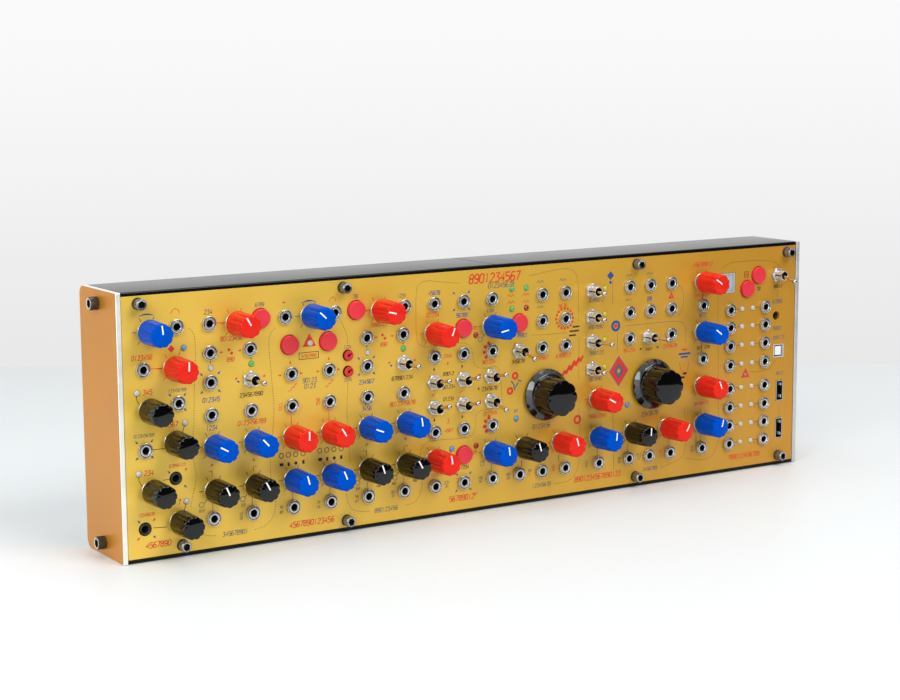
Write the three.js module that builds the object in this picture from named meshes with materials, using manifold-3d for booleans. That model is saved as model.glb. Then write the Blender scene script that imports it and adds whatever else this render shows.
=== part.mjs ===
// A slim modular synthesizer: a gold front panel full of knobs, toggles, jacks and buttons, screwed to the
// rails of a black case shell between two end cheeks. Millimetres, +Z up, +Y into the case, the panel facing
// -Y. The origin is the centre of the bottom face, where the instrument stands.
import * as THREE from "three";
import { mergeVertices } from "three/addons/utils/BufferGeometryUtils.js";
import Module from "manifold-3d";

const wasm = await Module();
wasm.setup();

// Clearances: between pieces that meet, and how far a cut or a joined root runs past the face it crosses.
const fitGap = 0.3;
const overrun = 0.5;

// Front panel: 84 pitches wide and three units high.
const panelPitch = 5.08;
const panelPitches = 84;
const panelWidth = panelPitch * panelPitches;
const panelHeight = 128.5;
const panelThickness = 2;

// Case shell and cheeks.
const caseDepth = 45;
const wallThickness = 1.7;
const cheekThickness = 2.5;
const cheekProud = 0.5;
const backCornerRadius = 5;
const railHeight = 7.4;
const railDepth = 8;
const seamWidth = 0.6;
const seamDepth = 0.4;

// Socket-head screws: those of the cheeks have a shorter head than those of the panel.
const screwHeadRadius = 2.75;
const screwHeadLength = 5;
const cheekScrewHeadLength = 4.2;
const screwSocketRadius = 1.4;
const screwSocketDepth = 2;
const screwShankRadius = 1.5;
const screwBite = 5;
const cheekScrewDepth = 22.2;
const cheekScrewInset = 7;
const panelScrewInset = 3.8;
const cornerBlockSize = 9;
const cornerBlockLength = 12;

// Circuit board behind the panel.
const boardSetback = 11.5;
const boardThickness = 1.6;
const boardMargin = 1.5;
const boardEndMargin = 2;

// Jack sockets for 3.5 mm plugs.
const jackBoreRadius = 1.8;
const jackBoreDepth = 8;
const jackBushRadius = 3;
const jackNutRadius = 3.8;
const jackNutTop = 1.9;
const plainSocketRadius = 3.2;
const plainSocketTop = 0.8;
const bareSocketRadius = 2.6;

// Potentiometers and the small fluted knobs.
const shaftRadius = 2.4;
const shaftDepth = 4;
const potBushRadius = 3.9;
const potBushTop = 2.9;
const potBodyWidth = 9.6;
const potBodyHeight = 11;
const knobLobes = 10;
const knobBaseRadius = 6.3;
const knobFaceRadius = 5.8;
const knobHeight = 15.7;
const knobFluteDepth = 0.45;

// The two large skirted tuning knobs.
const tuningLobes = 9;
const tuningSkirtRadius = 14.2;
const tuningSkirtRimTop = 2;
const tuningSkirtLift = 1.2;
const tuningShoulderRadius = 12.2;
const tuningShoulderTop = 4.6;
const tuningCapBaseRadius = 10.4;
const tuningCapFaceRadius = 9.9;
const tuningCapTop = 17.6;
const tuningFluteDepth = 0.9;

// Toggle switches.
const toggleNutRadius = 4.4;
const toggleNutTop = 1.9;
const toggleBushRadius = 3.1;
const toggleBushTop = 7;
const toggleBoreRadius = 2.4;
const toggleBodyWidth = 7;
const toggleBodyHeight = 12;
const leverPivotHeight = 4;
const leverPivotRadius = 1.75;
const leverRadius = 1;
const leverNeckRise = 1.5;
const leverBallRadius = 1.5;
const leverBallHeight = 11.6;
const leverTipRadius = 0.8;
const leverThrow = 13;

// Push buttons over small switches on the board.
const buttonRadius = 4.8;
const buttonTop = 1.9;
const buttonChamfer = 0.4;
const buttonSkirtDepth = 3.2;
const buttonStemRadius = 1.6;
const buttonTravel = 0.5;
const switchSize = 6;
const switchHeight = 3.5;

// Slotted trimmers.
const trimmerRadius = 2.6;
const trimmerTop = 1.5;
const trimmerSlotWidth = 0.8;
const trimmerSlotDepth = 0.7;

// Ports, window and power inlet.
const portWall = 0.6;
const portDepth = 7;
const squarePortSize = 8;
const squareTongueSize = 4.4;
const slotPortWidth = 5.3;
const slotPortHeight = 12.2;
const slotTongueWidth = 1.8;
const slotTongueHeight = 9;
const tongueSetback = 0.8;
const windowSize = 11.7;
const windowSetback = 0.3;
const inletRadius = 5.5;
const inletProud = 1.5;
const inletBoreRadius = 3;
const inletBoreDepth = 9;
const inletBodyDepth = 11;
const inletPinRadius = 1;
const inletPinSetback = 1;

// Sides of the faceted rounds.
const jackSides = 6;
const shaftSides = 6;
const toggleSides = 8;
const nutSides = 6;
const leverSides = 6;
const buttonSides = 8;
const trimmerSides = 8;
const screwSides = 8;
const holeSides = 6;
const tuningSkirtSides = 18;
const cornerSides = 5;

// Columns of the panel, as shares of its width.
const columnShares = {
  mixerInnerShare: 0.0655,
  mixerOuterShare: 0.0235,
  voiceALeftShare: 0.1065,
  voiceARightShare: 0.1575,
  delayLeftShare: 0.211,
  delayRightShare: 0.2615,
  delayTopLeftShare: 0.204,
  delayTopRightShare: 0.2705,
  voiceBLeftShare: 0.3135,
  voiceBRightShare: 0.3645,
  voiceBTopShare: 0.367,
  gateLeftShare: 0.4095,
  gateRightShare: 0.452,
  modulatorLeftShare: 0.4945,
  modulatorSecondShare: 0.536,
  modulatorThirdShare: 0.571,
  modulatorRightShare: 0.6075,
  carrierLeftShare: 0.6615,
  carrierSecondShare: 0.711,
  carrierThirdShare: 0.745,
  carrierRightShare: 0.7805,
  controlKnobsShare: 0.835,
  controlLeftShare: 0.883,
  controlRightShare: 0.945,
};

// Rows of the panel, as shares of its height.
const rowShares = {
  topShare: 0.8742,
  upperShare: 0.762,
  middleShare: 0.648,
  gateMiddleShare: 0.656,
  lowerShare: 0.522,
  gateLowerShare: 0.343,
  bottomShare: 0.1165,
  controlShares: [0.7285, 0.648, 0.564, 0.477, 0.369, 0.284, 0.2, 0.1165],
};

// Jacks: each column with its rows.
const jackPlaceShares = [
  [columnShares.mixerInnerShare, [0.873, 0.5815]],
  [columnShares.mixerOuterShare, [0.7215, 0.415]],
  [columnShares.voiceALeftShare, [rowShares.topShare, rowShares.upperShare, rowShares.middleShare]],
  [columnShares.voiceALeftShare, [rowShares.lowerShare, rowShares.bottomShare]],
  [columnShares.voiceARightShare, [rowShares.upperShare, rowShares.lowerShare, rowShares.bottomShare]],
  [columnShares.delayTopLeftShare, [rowShares.topShare]],
  [columnShares.delayTopRightShare, [rowShares.topShare]],
  [columnShares.delayLeftShare, [rowShares.middleShare, rowShares.lowerShare, rowShares.bottomShare]],
  [columnShares.delayRightShare, [rowShares.middleShare, rowShares.lowerShare, rowShares.bottomShare]],
  [columnShares.voiceBTopShare, [rowShares.topShare]],
  [
    columnShares.voiceBLeftShare,
    [rowShares.upperShare, rowShares.middleShare, rowShares.lowerShare, rowShares.bottomShare],
  ],
  [columnShares.voiceBRightShare, [rowShares.upperShare, rowShares.lowerShare, rowShares.bottomShare]],
  [
    columnShares.gateLeftShare,
    [rowShares.topShare, rowShares.gateMiddleShare, rowShares.gateLowerShare, rowShares.bottomShare],
  ],
  [
    columnShares.gateRightShare,
    [rowShares.topShare, rowShares.gateMiddleShare, rowShares.gateLowerShare, rowShares.bottomShare],
  ],
  [
    columnShares.modulatorLeftShare,
    [rowShares.topShare, rowShares.gateMiddleShare, rowShares.gateLowerShare, rowShares.bottomShare],
  ],
  [columnShares.modulatorSecondShare, [rowShares.bottomShare]],
  [
    columnShares.modulatorThirdShare,
    [rowShares.topShare, rowShares.upperShare, rowShares.middleShare, rowShares.bottomShare],
  ],
  [
    columnShares.modulatorRightShare,
    [rowShares.topShare, rowShares.upperShare, rowShares.middleShare, rowShares.bottomShare],
  ],
  [columnShares.carrierLeftShare, [rowShares.bottomShare]],
  [
    columnShares.carrierSecondShare,
    [rowShares.topShare, rowShares.upperShare, rowShares.middleShare, rowShares.bottomShare],
  ],
  [columnShares.carrierThirdShare, [rowShares.topShare, rowShares.upperShare, rowShares.bottomShare]],
  [
    columnShares.carrierRightShare,
    [rowShares.topShare, rowShares.upperShare, rowShares.middleShare, rowShares.bottomShare],
  ],
  [columnShares.controlKnobsShare, [rowShares.upperShare, rowShares.lowerShare, rowShares.bottomShare]],
  [columnShares.controlLeftShare, rowShares.controlShares],
  [columnShares.controlRightShare, rowShares.controlShares],
];

// Sockets with a plain black ring, and the one behind a bare hole.
const plainSocketShares = [
  [0.061, 0.292],
  [0.0215, 0.112],
];
const bareSocketShares = [0.967, 0.681];

// Small knobs: name, colour, column, row, and the turn of the pointer in degrees clockwise from upright.
const knobPlaceShares = [
  ["mixer_knob_1", "blue", 0.0305, 0.863, -3],
  ["mixer_knob_2", "red", 0.0605, 0.718, 5],
  ["mixer_knob_3", "black", 0.029, 0.5665, 0],
  ["mixer_knob_4", "black", 0.059, 0.4335, 0],
  ["mixer_knob_5", "black", 0.03, 0.257, 0],
  ["mixer_knob_6", "black", 0.0632, 0.1245, 0],
  ["voice_a_knob_1", "red", 0.1395, 0.868, -27],
  ["voice_a_knob_2", "blue", 0.1082, 0.401, -60],
  ["voice_a_knob_3", "blue", 0.1597, 0.401, -41],
  ["voice_a_knob_4", "black", 0.1082, 0.2275, -21],
  ["voice_a_knob_5", "black", 0.1597, 0.2275, -25],
  ["delay_knob_1", "blue", 0.237, 0.872, -46],
  ["delay_knob_2", "red", 0.211, 0.401, 5],
  ["delay_knob_3", "red", 0.2615, 0.401, -30],
  ["delay_knob_4", "blue", 0.211, 0.2275, -12],
  ["delay_knob_5", "blue", 0.2615, 0.2275, -19],
  ["voice_b_knob_1", "red", 0.3325, 0.868, -76],
  ["voice_b_knob_2", "blue", 0.313, 0.401, -68],
  ["voice_b_knob_3", "blue", 0.3662, 0.401, -4],
  ["voice_b_knob_4", "black", 0.313, 0.2298, -15],
  ["voice_b_knob_5", "black", 0.3662, 0.2298, -26],
  ["gate_knob_1", "red", 0.408, 0.755, 27],
  ["gate_knob_2", "red", 0.4085, 0.2298, -5],
  ["modulator_knob_1", "blue", 0.493, 0.7625, -102],
  ["modulator_knob_2", "blue", 0.493, 0.2325, -2],
  ["modulator_knob_3", "black", 0.541, 0.2325, -13],
  ["modulator_knob_4", "red", 0.599, 0.2325, -11],
  ["carrier_knob_1", "red", 0.6585, 0.401, -60],
  ["carrier_knob_2", "blue", 0.6585, 0.2325, 12],
  ["carrier_knob_3", "black", 0.715, 0.2325, 9],
  ["carrier_knob_4", "red", 0.774, 0.2325, 36],
  ["control_knob_1", "red", 0.833, 0.868, -53],
  ["control_knob_2", "blue", 0.8335, 0.6455, -51],
  ["control_knob_3", "red", 0.8345, 0.401, -17],
  ["control_knob_4", "blue", 0.8345, 0.229, 22],
];

// Large tuning knobs: name, column and row.
const tuningPlaceShares = [
  ["modulator_tuning_knob", 0.577, 0.4455],
  ["carrier_tuning_knob", 0.7495, 0.436],
];

// Toggles: name, column, row, how the lever swings, and which way it rests: 1 up or right, -1 down or left.
const togglePlaceShares = [
  ["voice_a_toggle", 0.1575, 0.6445, "across", 0],
  ["voice_b_toggle", 0.365, 0.6445, "across", 0],
  ["gate_toggle_1", 0.409, 0.551, "upright", 1],
  ["gate_toggle_2", 0.451, 0.551, "upright", 1],
  ["gate_toggle_3", 0.4925, 0.551, "upright", 1],
  ["gate_toggle_4", 0.409, 0.446, "upright", 1],
  ["gate_toggle_5", 0.451, 0.446, "upright", 1],
  ["gate_toggle_6", 0.4925, 0.446, "upright", -1],
  ["modulator_toggle", 0.5355, 0.6455, "upright", -1],
  ["carrier_toggle_1", 0.65, 0.871, "across", -1],
  ["carrier_toggle_2", 0.65, 0.759, "across", -1],
  ["carrier_toggle_3", 0.65, 0.65, "across", 1],
  ["carrier_toggle_4", 0.65, 0.532, "across", -1],
  ["carrier_toggle_5", 0.742, 0.646, "across", 1],
  ["power_toggle", 0.9665, 0.87, "upright", -1],
];

// Push buttons: name, column and row of those that travel, then column and row of those that are one with
// the board.
const buttonPlaceShares = [
  ["delay_button_left", 0.21, 0.762],
  ["delay_button_right", 0.2615, 0.762],
  ["control_button", 0.9325, 0.876],
];
const boardButtonShares = [
  [0.173, 0.876],
  [0.3005, 0.876],
  [0.453, 0.762],
  [0.537, 0.762],
  [0.453, 0.231],
  [0.913, 0.818],
];

// Trimmers, window and ports: column and row of each centre.
const trimmerShares = [
  [0.2885, 0.698],
  [0.2885, 0.633],
];
const windowShares = [0.8785, 0.85];
const squarePortShares = [0.9725, 0.5175];
const slotPortShares = [
  [0.9755, 0.3315],
  [0.9755, 0.156],
];
const inletShares = [0.1, 0.5];

// Panel screws: the columns of those along the top edge and of those along the bottom edge.
const topScrewShares = [0.02, 0.2828, 0.723, 0.983];
const bottomScrewShares = [0.067, 0.284, 0.7235, 0.974];

// Sizes that follow.
const degree = Math.PI / 180;
const caseHeight = panelHeight + 2 * (wallThickness + fitGap);
const caseFront = -caseDepth / 2;
const caseBack = caseDepth / 2;
const panelFace = caseFront + cheekProud;
const panelBottom = wallThickness + fitGap;
const behindPanel = -(panelThickness + fitGap);
const boardFace = -boardSetback;
const bodyBack = boardFace - overrun;
const switchTop = boardFace + switchHeight;
const knobLift = potBushTop + fitGap;
const potBoreRadius = clearOf(shaftRadius, shaftSides);
const shaftEnd = behindPanel - shaftDepth;

// The radius of a faceted hole that stays clear of a round of the given radius.
function clearOf(radius, sides) {
  return (radius + fitGap) / Math.cos(Math.PI / sides);
}

// The point of the panel's face at these shares of its width and height.
function panelPoint(columnShare, rowShare) {
  const x = (columnShare - 1 / 2) * panelWidth;
  const z = panelBottom + rowShare * panelHeight;
  return new THREE.Vector3(x, panelFace, z);
}

// The points of everything on the panel.
const pointsOf = (places) => places.map(([columnShare, rowShare]) => panelPoint(columnShare, rowShare));
const jackPoints = jackPlaceShares.flatMap(([columnShare, rows]) =>
  rows.map((rowShare) => panelPoint(columnShare, rowShare)),
);
const plainSocketPoints = pointsOf(plainSocketShares);
const barePoint = panelPoint(...bareSocketShares);
const smallKnobPoints = pointsOf(knobPlaceShares.map(([, , ...shares]) => shares));
const tuningPoints = pointsOf(tuningPlaceShares.map(([, ...shares]) => shares));
const knobPoints = [...smallKnobPoints, ...tuningPoints];
const togglePoints = pointsOf(togglePlaceShares.map(([, ...shares]) => shares));
const buttonPoints = pointsOf(buttonPlaceShares.map(([, ...shares]) => shares));
const boardButtonPoints = pointsOf(boardButtonShares);
const trimmerPoints = pointsOf(trimmerShares);
const windowPoint = panelPoint(...windowShares);
const squarePortPoint = panelPoint(...squarePortShares);
const slotPortPoints = pointsOf(slotPortShares);
const screwInsetShare = panelScrewInset / panelHeight;
const panelScrewPoints = [
  ...topScrewShares.map((columnShare) => panelPoint(columnShare, 1 - screwInsetShare)),
  ...bottomScrewShares.map((columnShare) => panelPoint(columnShare, screwInsetShare)),
];

// A closed solid of a geometry, with shared corners merged and faces of no area dropped.
function solidOf(geometry) {
  const bare = geometry.clone();
  bare.deleteAttribute("normal");
  bare.deleteAttribute("uv");
  const merged = mergeVertices(bare);
  const corners = merged.index.array;
  const kept = [];
  for (let i = 0; i < corners.length; i += 3) {
    const [a, b, c] = [corners[i], corners[i + 1], corners[i + 2]];
    if (a !== b && b !== c && c !== a) kept.push(a, b, c);
  }
  const mesh = new wasm.Mesh({
    numProp: 3,
    vertProperties: merged.attributes.position.array,
    triVerts: new Uint32Array(kept),
  });
  return new wasm.Manifold(mesh);
}

// A round turned about the panel's normal. The profile runs from the front of the axis to its back,
// each point a radius and a height in front of the panel's face.
function turned(sides, profile) {
  const points = profile.map(([radius, height]) => new THREE.Vector2(radius, -height));
  return new THREE.LatheGeometry(points, sides);
}

// The same round with every second side line drawn in, which leaves one lobe for each pair of sides.
function fluted(lobes, depth, profile) {
  const geometry = turned(2 * lobes, profile);
  const position = geometry.attributes.position;
  for (let i = 0; i < position.count; i++) {
    const x = position.getX(i);
    const z = position.getZ(i);
    const radius = Math.hypot(x, z);
    const line = Math.round((Math.atan2(x, z) / Math.PI) * lobes);
    if (radius === 0 || line % 2 === 0) continue;
    const drawnIn = (radius - depth) / radius;
    position.setX(i, x * drawnIn);
    position.setZ(i, z * drawnIn);
  }
  return geometry;
}

// A rectangular block on the panel's normal, between two heights in front of the panel's face.
function block(width, height, front, back) {
  const geometry = new THREE.BoxGeometry(width, front - back, height);
  const middle = (front + back) / 2;
  return geometry.translate(0, -middle, 0);
}

// A faceted rod between two heights in front of the panel's face.
function plainRound(radius, sides, front, back) {
  return turned(sides, [
    [0, front],
    [radius, front],
    [radius, back],
    [0, back],
  ]);
}

// Cutters through the panel: a faceted round and a rectangle with the gap all round it.
function roundHole(radius, sides) {
  return plainRound(radius, sides, overrun, -panelThickness - overrun);
}

function squareHole(width, height) {
  return block(width + 2 * fitGap, height + 2 * fitGap, overrun, -panelThickness - overrun);
}

// Pieces of one solid moved to a point of the panel.
function at(point, ...geometries) {
  return geometries.map((geometry) => solidOf(geometry).translate([point.x, point.y, point.z]));
}

function joined(solids) {
  return solids.reduce((whole, piece) => whole.add(piece));
}

// An outline across the case, its x into the case and its y up, drawn out along X between two places.
function drawnAlong(outline, from, to) {
  const options = { depth: to - from, bevelEnabled: false, curveSegments: cornerSides };
  const geometry = new THREE.ExtrudeGeometry(outline, options);
  const into = new THREE.Vector3(0, 1, 0);
  const up = new THREE.Vector3(0, 0, 1);
  const along = new THREE.Vector3(1, 0, 0);
  geometry.applyMatrix4(new THREE.Matrix4().makeBasis(into, up, along));
  return geometry.translate(from, 0, 0);
}

// The cheek's outline: square in front, rounded at the back.
function cheekOutline() {
  const outline = new THREE.Shape();
  const arcCentre = caseBack - backCornerRadius;
  outline.moveTo(caseFront, 0);
  outline.lineTo(arcCentre, 0);
  outline.absarc(arcCentre, backCornerRadius, backCornerRadius, -Math.PI / 2, 0, false);
  outline.lineTo(caseBack, caseHeight - backCornerRadius);
  outline.absarc(arcCentre, caseHeight - backCornerRadius, backCornerRadius, 0, Math.PI / 2, false);
  outline.lineTo(caseFront, caseHeight);
  return outline;
}

// The shell's outline: one sheet bent round the bottom, back and top.
function shellOutline() {
  const outline = new THREE.Shape();
  const arcCentre = caseBack - backCornerRadius;
  const topCentre = caseHeight - backCornerRadius;
  const insideRadius = backCornerRadius - wallThickness;
  outline.moveTo(panelFace, 0);
  outline.lineTo(arcCentre, 0);
  outline.absarc(arcCentre, backCornerRadius, backCornerRadius, -Math.PI / 2, 0, false);
  outline.lineTo(caseBack, topCentre);
  outline.absarc(arcCentre, topCentre, backCornerRadius, 0, Math.PI / 2, false);
  outline.lineTo(panelFace, caseHeight);
  outline.lineTo(panelFace, caseHeight - wallThickness);
  outline.lineTo(arcCentre, caseHeight - wallThickness);
  outline.absarc(arcCentre, topCentre, insideRadius, Math.PI / 2, 0, true);
  outline.lineTo(caseBack - wallThickness, backCornerRadius);
  outline.absarc(arcCentre, backCornerRadius, insideRadius, 0, -Math.PI / 2, true);
  outline.lineTo(panelFace, wallThickness);
  return outline;
}

// A box from its lowest and highest corners.
function boxBetween(low, high) {
  const size = high.clone().sub(low);
  const middle = low.clone().add(high).divideScalar(2);
  return new THREE.BoxGeometry(size.x, size.y, size.z).translate(middle.x, middle.y, middle.z);
}

// A socket-head screw on the panel's normal: its head a gap clear of the face, its shank through the given
// thickness and on into the thread.
function socketScrew(headLength, thickness) {
  const headTop = fitGap + headLength;
  const socketFloor = headTop - screwSocketDepth;
  const shankEnd = -(thickness + fitGap + screwBite);
  return turned(screwSides, [
    [0, socketFloor],
    [screwSocketRadius, socketFloor],
    [screwSocketRadius, headTop],
    [screwHeadRadius, headTop],
    [screwHeadRadius, fitGap],
    [screwShankRadius, fitGap],
    [screwShankRadius, shankEnd],
    [0, shankEnd],
  ]);
}

// Where the cheek screws stand: one low and one high, on either end of the case.
const cheekScrewY = panelFace + cheekScrewDepth;
const cheekScrewHeights = [cheekScrewInset, caseHeight - cheekScrewInset];
const caseEnds = [-1, 1];
const cheekInside = panelWidth / 2 + fitGap;
const cheekOutside = cheekInside + cheekThickness;

function cheekScrew(end, height) {
  const screw = socketScrew(cheekScrewHeadLength, cheekThickness);
  screw.rotateZ((end * Math.PI) / 2);
  return screw.translate(end * cheekOutside, cheekScrewY, height);
}

function cheekScrewHole(end, height) {
  const radius = clearOf(screwShankRadius, holeSides);
  const hole = plainRound(radius, holeSides, overrun, -cheekThickness - overrun);
  hole.rotateZ((end * Math.PI) / 2);
  return hole.translate(end * cheekOutside, cheekScrewY, height);
}

// Rails behind the panel's upper and lower edges, for the panel screws.
function rails() {
  const front = panelFace + panelThickness + fitGap;
  const halfLength = panelWidth / 2;
  const lowRail = boxBetween(
    new THREE.Vector3(-halfLength, front, wallThickness / 2),
    new THREE.Vector3(halfLength, front + railDepth, wallThickness + railHeight),
  );
  const highRail = boxBetween(
    new THREE.Vector3(-halfLength, front, caseHeight - wallThickness - railHeight),
    new THREE.Vector3(halfLength, front + railDepth, caseHeight - wallThickness / 2),
  );
  return [solidOf(lowRail), solidOf(highRail)];
}

// Blocks at the ends of the shell, for the cheek screws.
function cornerBlocks() {
  const blocks = [];
  for (const end of caseEnds) {
    const near = (end * panelWidth) / 2;
    const far = near - end * cornerBlockLength;
    for (const height of cheekScrewHeights) {
      const wallSide = height < caseHeight / 2 ? wallThickness / 2 : caseHeight - wallThickness / 2;
      const freeSide = height < caseHeight / 2 ? height + cornerBlockSize / 2 : height - cornerBlockSize / 2;
      const low = new THREE.Vector3(
        Math.min(near, far),
        cheekScrewY - cornerBlockSize / 2,
        Math.min(wallSide, freeSide),
      );
      const high = new THREE.Vector3(
        Math.max(near, far),
        cheekScrewY + cornerBlockSize / 2,
        Math.max(wallSide, freeSide),
      );
      blocks.push(solidOf(boxBetween(low, high)));
    }
  }
  return blocks;
}

// The power inlet in the back wall: a ringed barrel, its mouth and its contact pin, all facing the back.
function inlet() {
  const place = panelPoint(...inletShares);
  const floor = inletProud - inletBoreDepth;
  const barrel = plainRound(inletRadius, screwSides, inletProud, -inletBodyDepth);
  const mouth = plainRound(inletBoreRadius, screwSides, inletProud + overrun, floor);
  const pin = plainRound(inletPinRadius, nutSides, inletProud - inletPinSetback, floor - overrun);
  return [barrel, mouth, pin].map((piece) => {
    piece.rotateZ(Math.PI);
    return solidOf(piece.translate(place.x, caseBack, place.z));
  });
}

function makeCaseShell() {
  const halfLength = panelWidth / 2;
  const pieces = [solidOf(drawnAlong(shellOutline(), -halfLength, halfLength))];
  pieces.push(...rails(), ...cornerBlocks());
  for (const point of panelScrewPoints) {
    pieces.push(...at(point, socketScrew(screwHeadLength, panelThickness)));
  }
  for (const end of caseEnds) {
    for (const height of cheekScrewHeights) pieces.push(solidOf(cheekScrew(end, height)));
  }
  const [barrel, mouth, pin] = inlet();
  const seam = boxBetween(
    new THREE.Vector3(-seamWidth / 2, panelFace - overrun, caseHeight - seamDepth),
    new THREE.Vector3(seamWidth / 2, caseBack + overrun, caseHeight + overrun),
  );
  return joined(pieces).add(barrel).subtract(mouth).add(pin).subtract(solidOf(seam));
}

function makeCheek(end) {
  const from = end < 0 ? -cheekOutside : cheekInside;
  const to = end < 0 ? -cheekInside : cheekOutside;
  let cheek = solidOf(drawnAlong(cheekOutline(), from, to));
  for (const height of cheekScrewHeights) cheek = cheek.subtract(solidOf(cheekScrewHole(end, height)));
  return cheek;
}

// The front panel, with a hole for everything that comes through it.
function makeFrontPanel() {
  const holes = [];
  const drill = (points, radius, sides) => {
    for (const point of points) holes.push(...at(point, roundHole(radius, sides)));
  };
  const open = (points, width, height) => {
    for (const point of points) holes.push(...at(point, squareHole(width, height)));
  };
  drill(jackPoints, clearOf(jackBushRadius, holeSides), holeSides);
  drill(plainSocketPoints, clearOf(plainSocketRadius, holeSides), holeSides);
  drill([barePoint], bareSocketRadius, trimmerSides);
  drill(knobPoints, clearOf(potBushRadius, holeSides), holeSides);
  drill(togglePoints, clearOf(toggleBushRadius, holeSides), holeSides);
  drill([...buttonPoints, ...boardButtonPoints], clearOf(buttonRadius, buttonSides), buttonSides);
  drill(trimmerPoints, clearOf(trimmerRadius, trimmerSides), trimmerSides);
  drill(panelScrewPoints, clearOf(screwShankRadius, holeSides), holeSides);
  open(slotPortPoints, slotPortWidth, slotPortHeight);
  open([squarePortPoint], squarePortSize, squarePortSize);
  open([windowPoint], windowSize, windowSize);
  const plate = boxBetween(
    new THREE.Vector3(-panelWidth / 2, panelFace, panelBottom),
    new THREE.Vector3(panelWidth / 2, panelFace + panelThickness, panelBottom + panelHeight),
  );
  return holes.reduce((panel, hole) => panel.subtract(hole), solidOf(plate));
}

// A fixed fitting on the board at a point of the panel: its outsides, the bores cut in them and the cores
// that stand in the bores.
function fitting(point, outsides, bores, cores = []) {
  return { outsides: at(point, ...outsides), bores: at(point, ...bores), cores: at(point, ...cores) };
}

// A metal-nut jack: nut over the panel, barrel through it and down to the board.
function jack(point) {
  const outside = turned(jackSides, [
    [0, jackNutTop],
    [jackNutRadius, jackNutTop],
    [jackNutRadius, fitGap],
    [jackBushRadius, fitGap],
    [jackBushRadius, bodyBack],
    [0, bodyBack],
  ]);
  const bore = plainRound(jackBoreRadius, jackSides, jackNutTop + overrun, -jackBoreDepth);
  return fitting(point, [outside], [bore]);
}

// A jack with a plain round barrel in place of the nut, its ring just proud of the panel.
function plainSocket(point) {
  const outside = plainRound(plainSocketRadius, jackSides, plainSocketTop, bodyBack);
  const bore = plainRound(jackBoreRadius, jackSides, plainSocketTop + overrun, -jackBoreDepth);
  return fitting(point, [outside], [bore]);
}

// A jack that stays behind the panel, under a bare hole.
function bareSocket(point) {
  const outside = plainRound(jackBushRadius, jackSides, behindPanel, bodyBack);
  const bore = plainRound(jackBoreRadius, jackSides, 0, -jackBoreDepth);
  return fitting(point, [outside], [bore]);
}

// A potentiometer: threaded bush through the panel and body down to the board.
function potentiometer(point) {
  const bush = plainRound(potBushRadius, shaftSides, potBushTop, behindPanel - overrun);
  const body = block(potBodyWidth, potBodyHeight, behindPanel, bodyBack);
  const bore = plainRound(potBoreRadius, shaftSides, potBushTop + overrun, shaftEnd - fitGap);
  return fitting(point, [bush, body], [bore]);
}

// A toggle's fixed part: six-sided nut, round bush and body. The bush's bore lets the lever swing.
function toggle(point, swing) {
  const nut = plainRound(toggleNutRadius, nutSides, toggleNutTop, fitGap);
  const bush = plainRound(toggleBushRadius, toggleSides, toggleBushTop, behindPanel - overrun);
  const body = block(toggleBodyWidth, toggleBodyHeight, behindPanel, bodyBack);
  if (swing === "across") body.rotateY(Math.PI / 2);
  const boreFloor = leverPivotHeight - leverPivotRadius - fitGap;
  const bore = plainRound(toggleBoreRadius, toggleSides, toggleBushTop + overrun, boreFloor);
  return fitting(point, [nut, bush, body], [bore]);
}

// The little switch under a push button.
function buttonSwitch(point) {
  return fitting(point, [block(switchSize, switchSize, switchTop, bodyBack)], []);
}

// A push button: flat cap with a bevelled edge, skirt through the panel and stem down to its switch.
function button(stemEnd) {
  return turned(buttonSides, [
    [0, buttonTop],
    [buttonRadius - buttonChamfer, buttonTop],
    [buttonRadius, buttonTop - buttonChamfer],
    [buttonRadius, -buttonSkirtDepth],
    [buttonStemRadius, -buttonSkirtDepth],
    [buttonStemRadius, stemEnd],
    [0, stemEnd],
  ]);
}

// A push button whose stem is one with its switch.
function boardButton(point) {
  const body = block(switchSize, switchSize, switchTop, bodyBack);
  return fitting(point, [body, button(switchTop - overrun)], []);
}

// A trimmer: a round with a slot across it for a screwdriver.
function trimmer(point) {
  const outside = plainRound(trimmerRadius, trimmerSides, trimmerTop, bodyBack);
  const slotFloor = trimmerTop - trimmerSlotDepth;
  const slot = block(2 * trimmerRadius, trimmerSlotWidth, trimmerTop + overrun, slotFloor);
  return fitting(point, [outside], [slot]);
}

// A port: an open metal mouth level with the panel, with a tongue standing in it.
function port(point, width, height, tongueWidth, tongueHeight) {
  const outside = block(width, height, 0, bodyBack);
  const mouth = block(width - 2 * portWall, height - 2 * portWall, overrun, -portDepth);
  const tongue = block(tongueWidth, tongueHeight, -tongueSetback, -portDepth - overrun);
  return fitting(point, [outside], [mouth], [tongue]);
}

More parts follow.
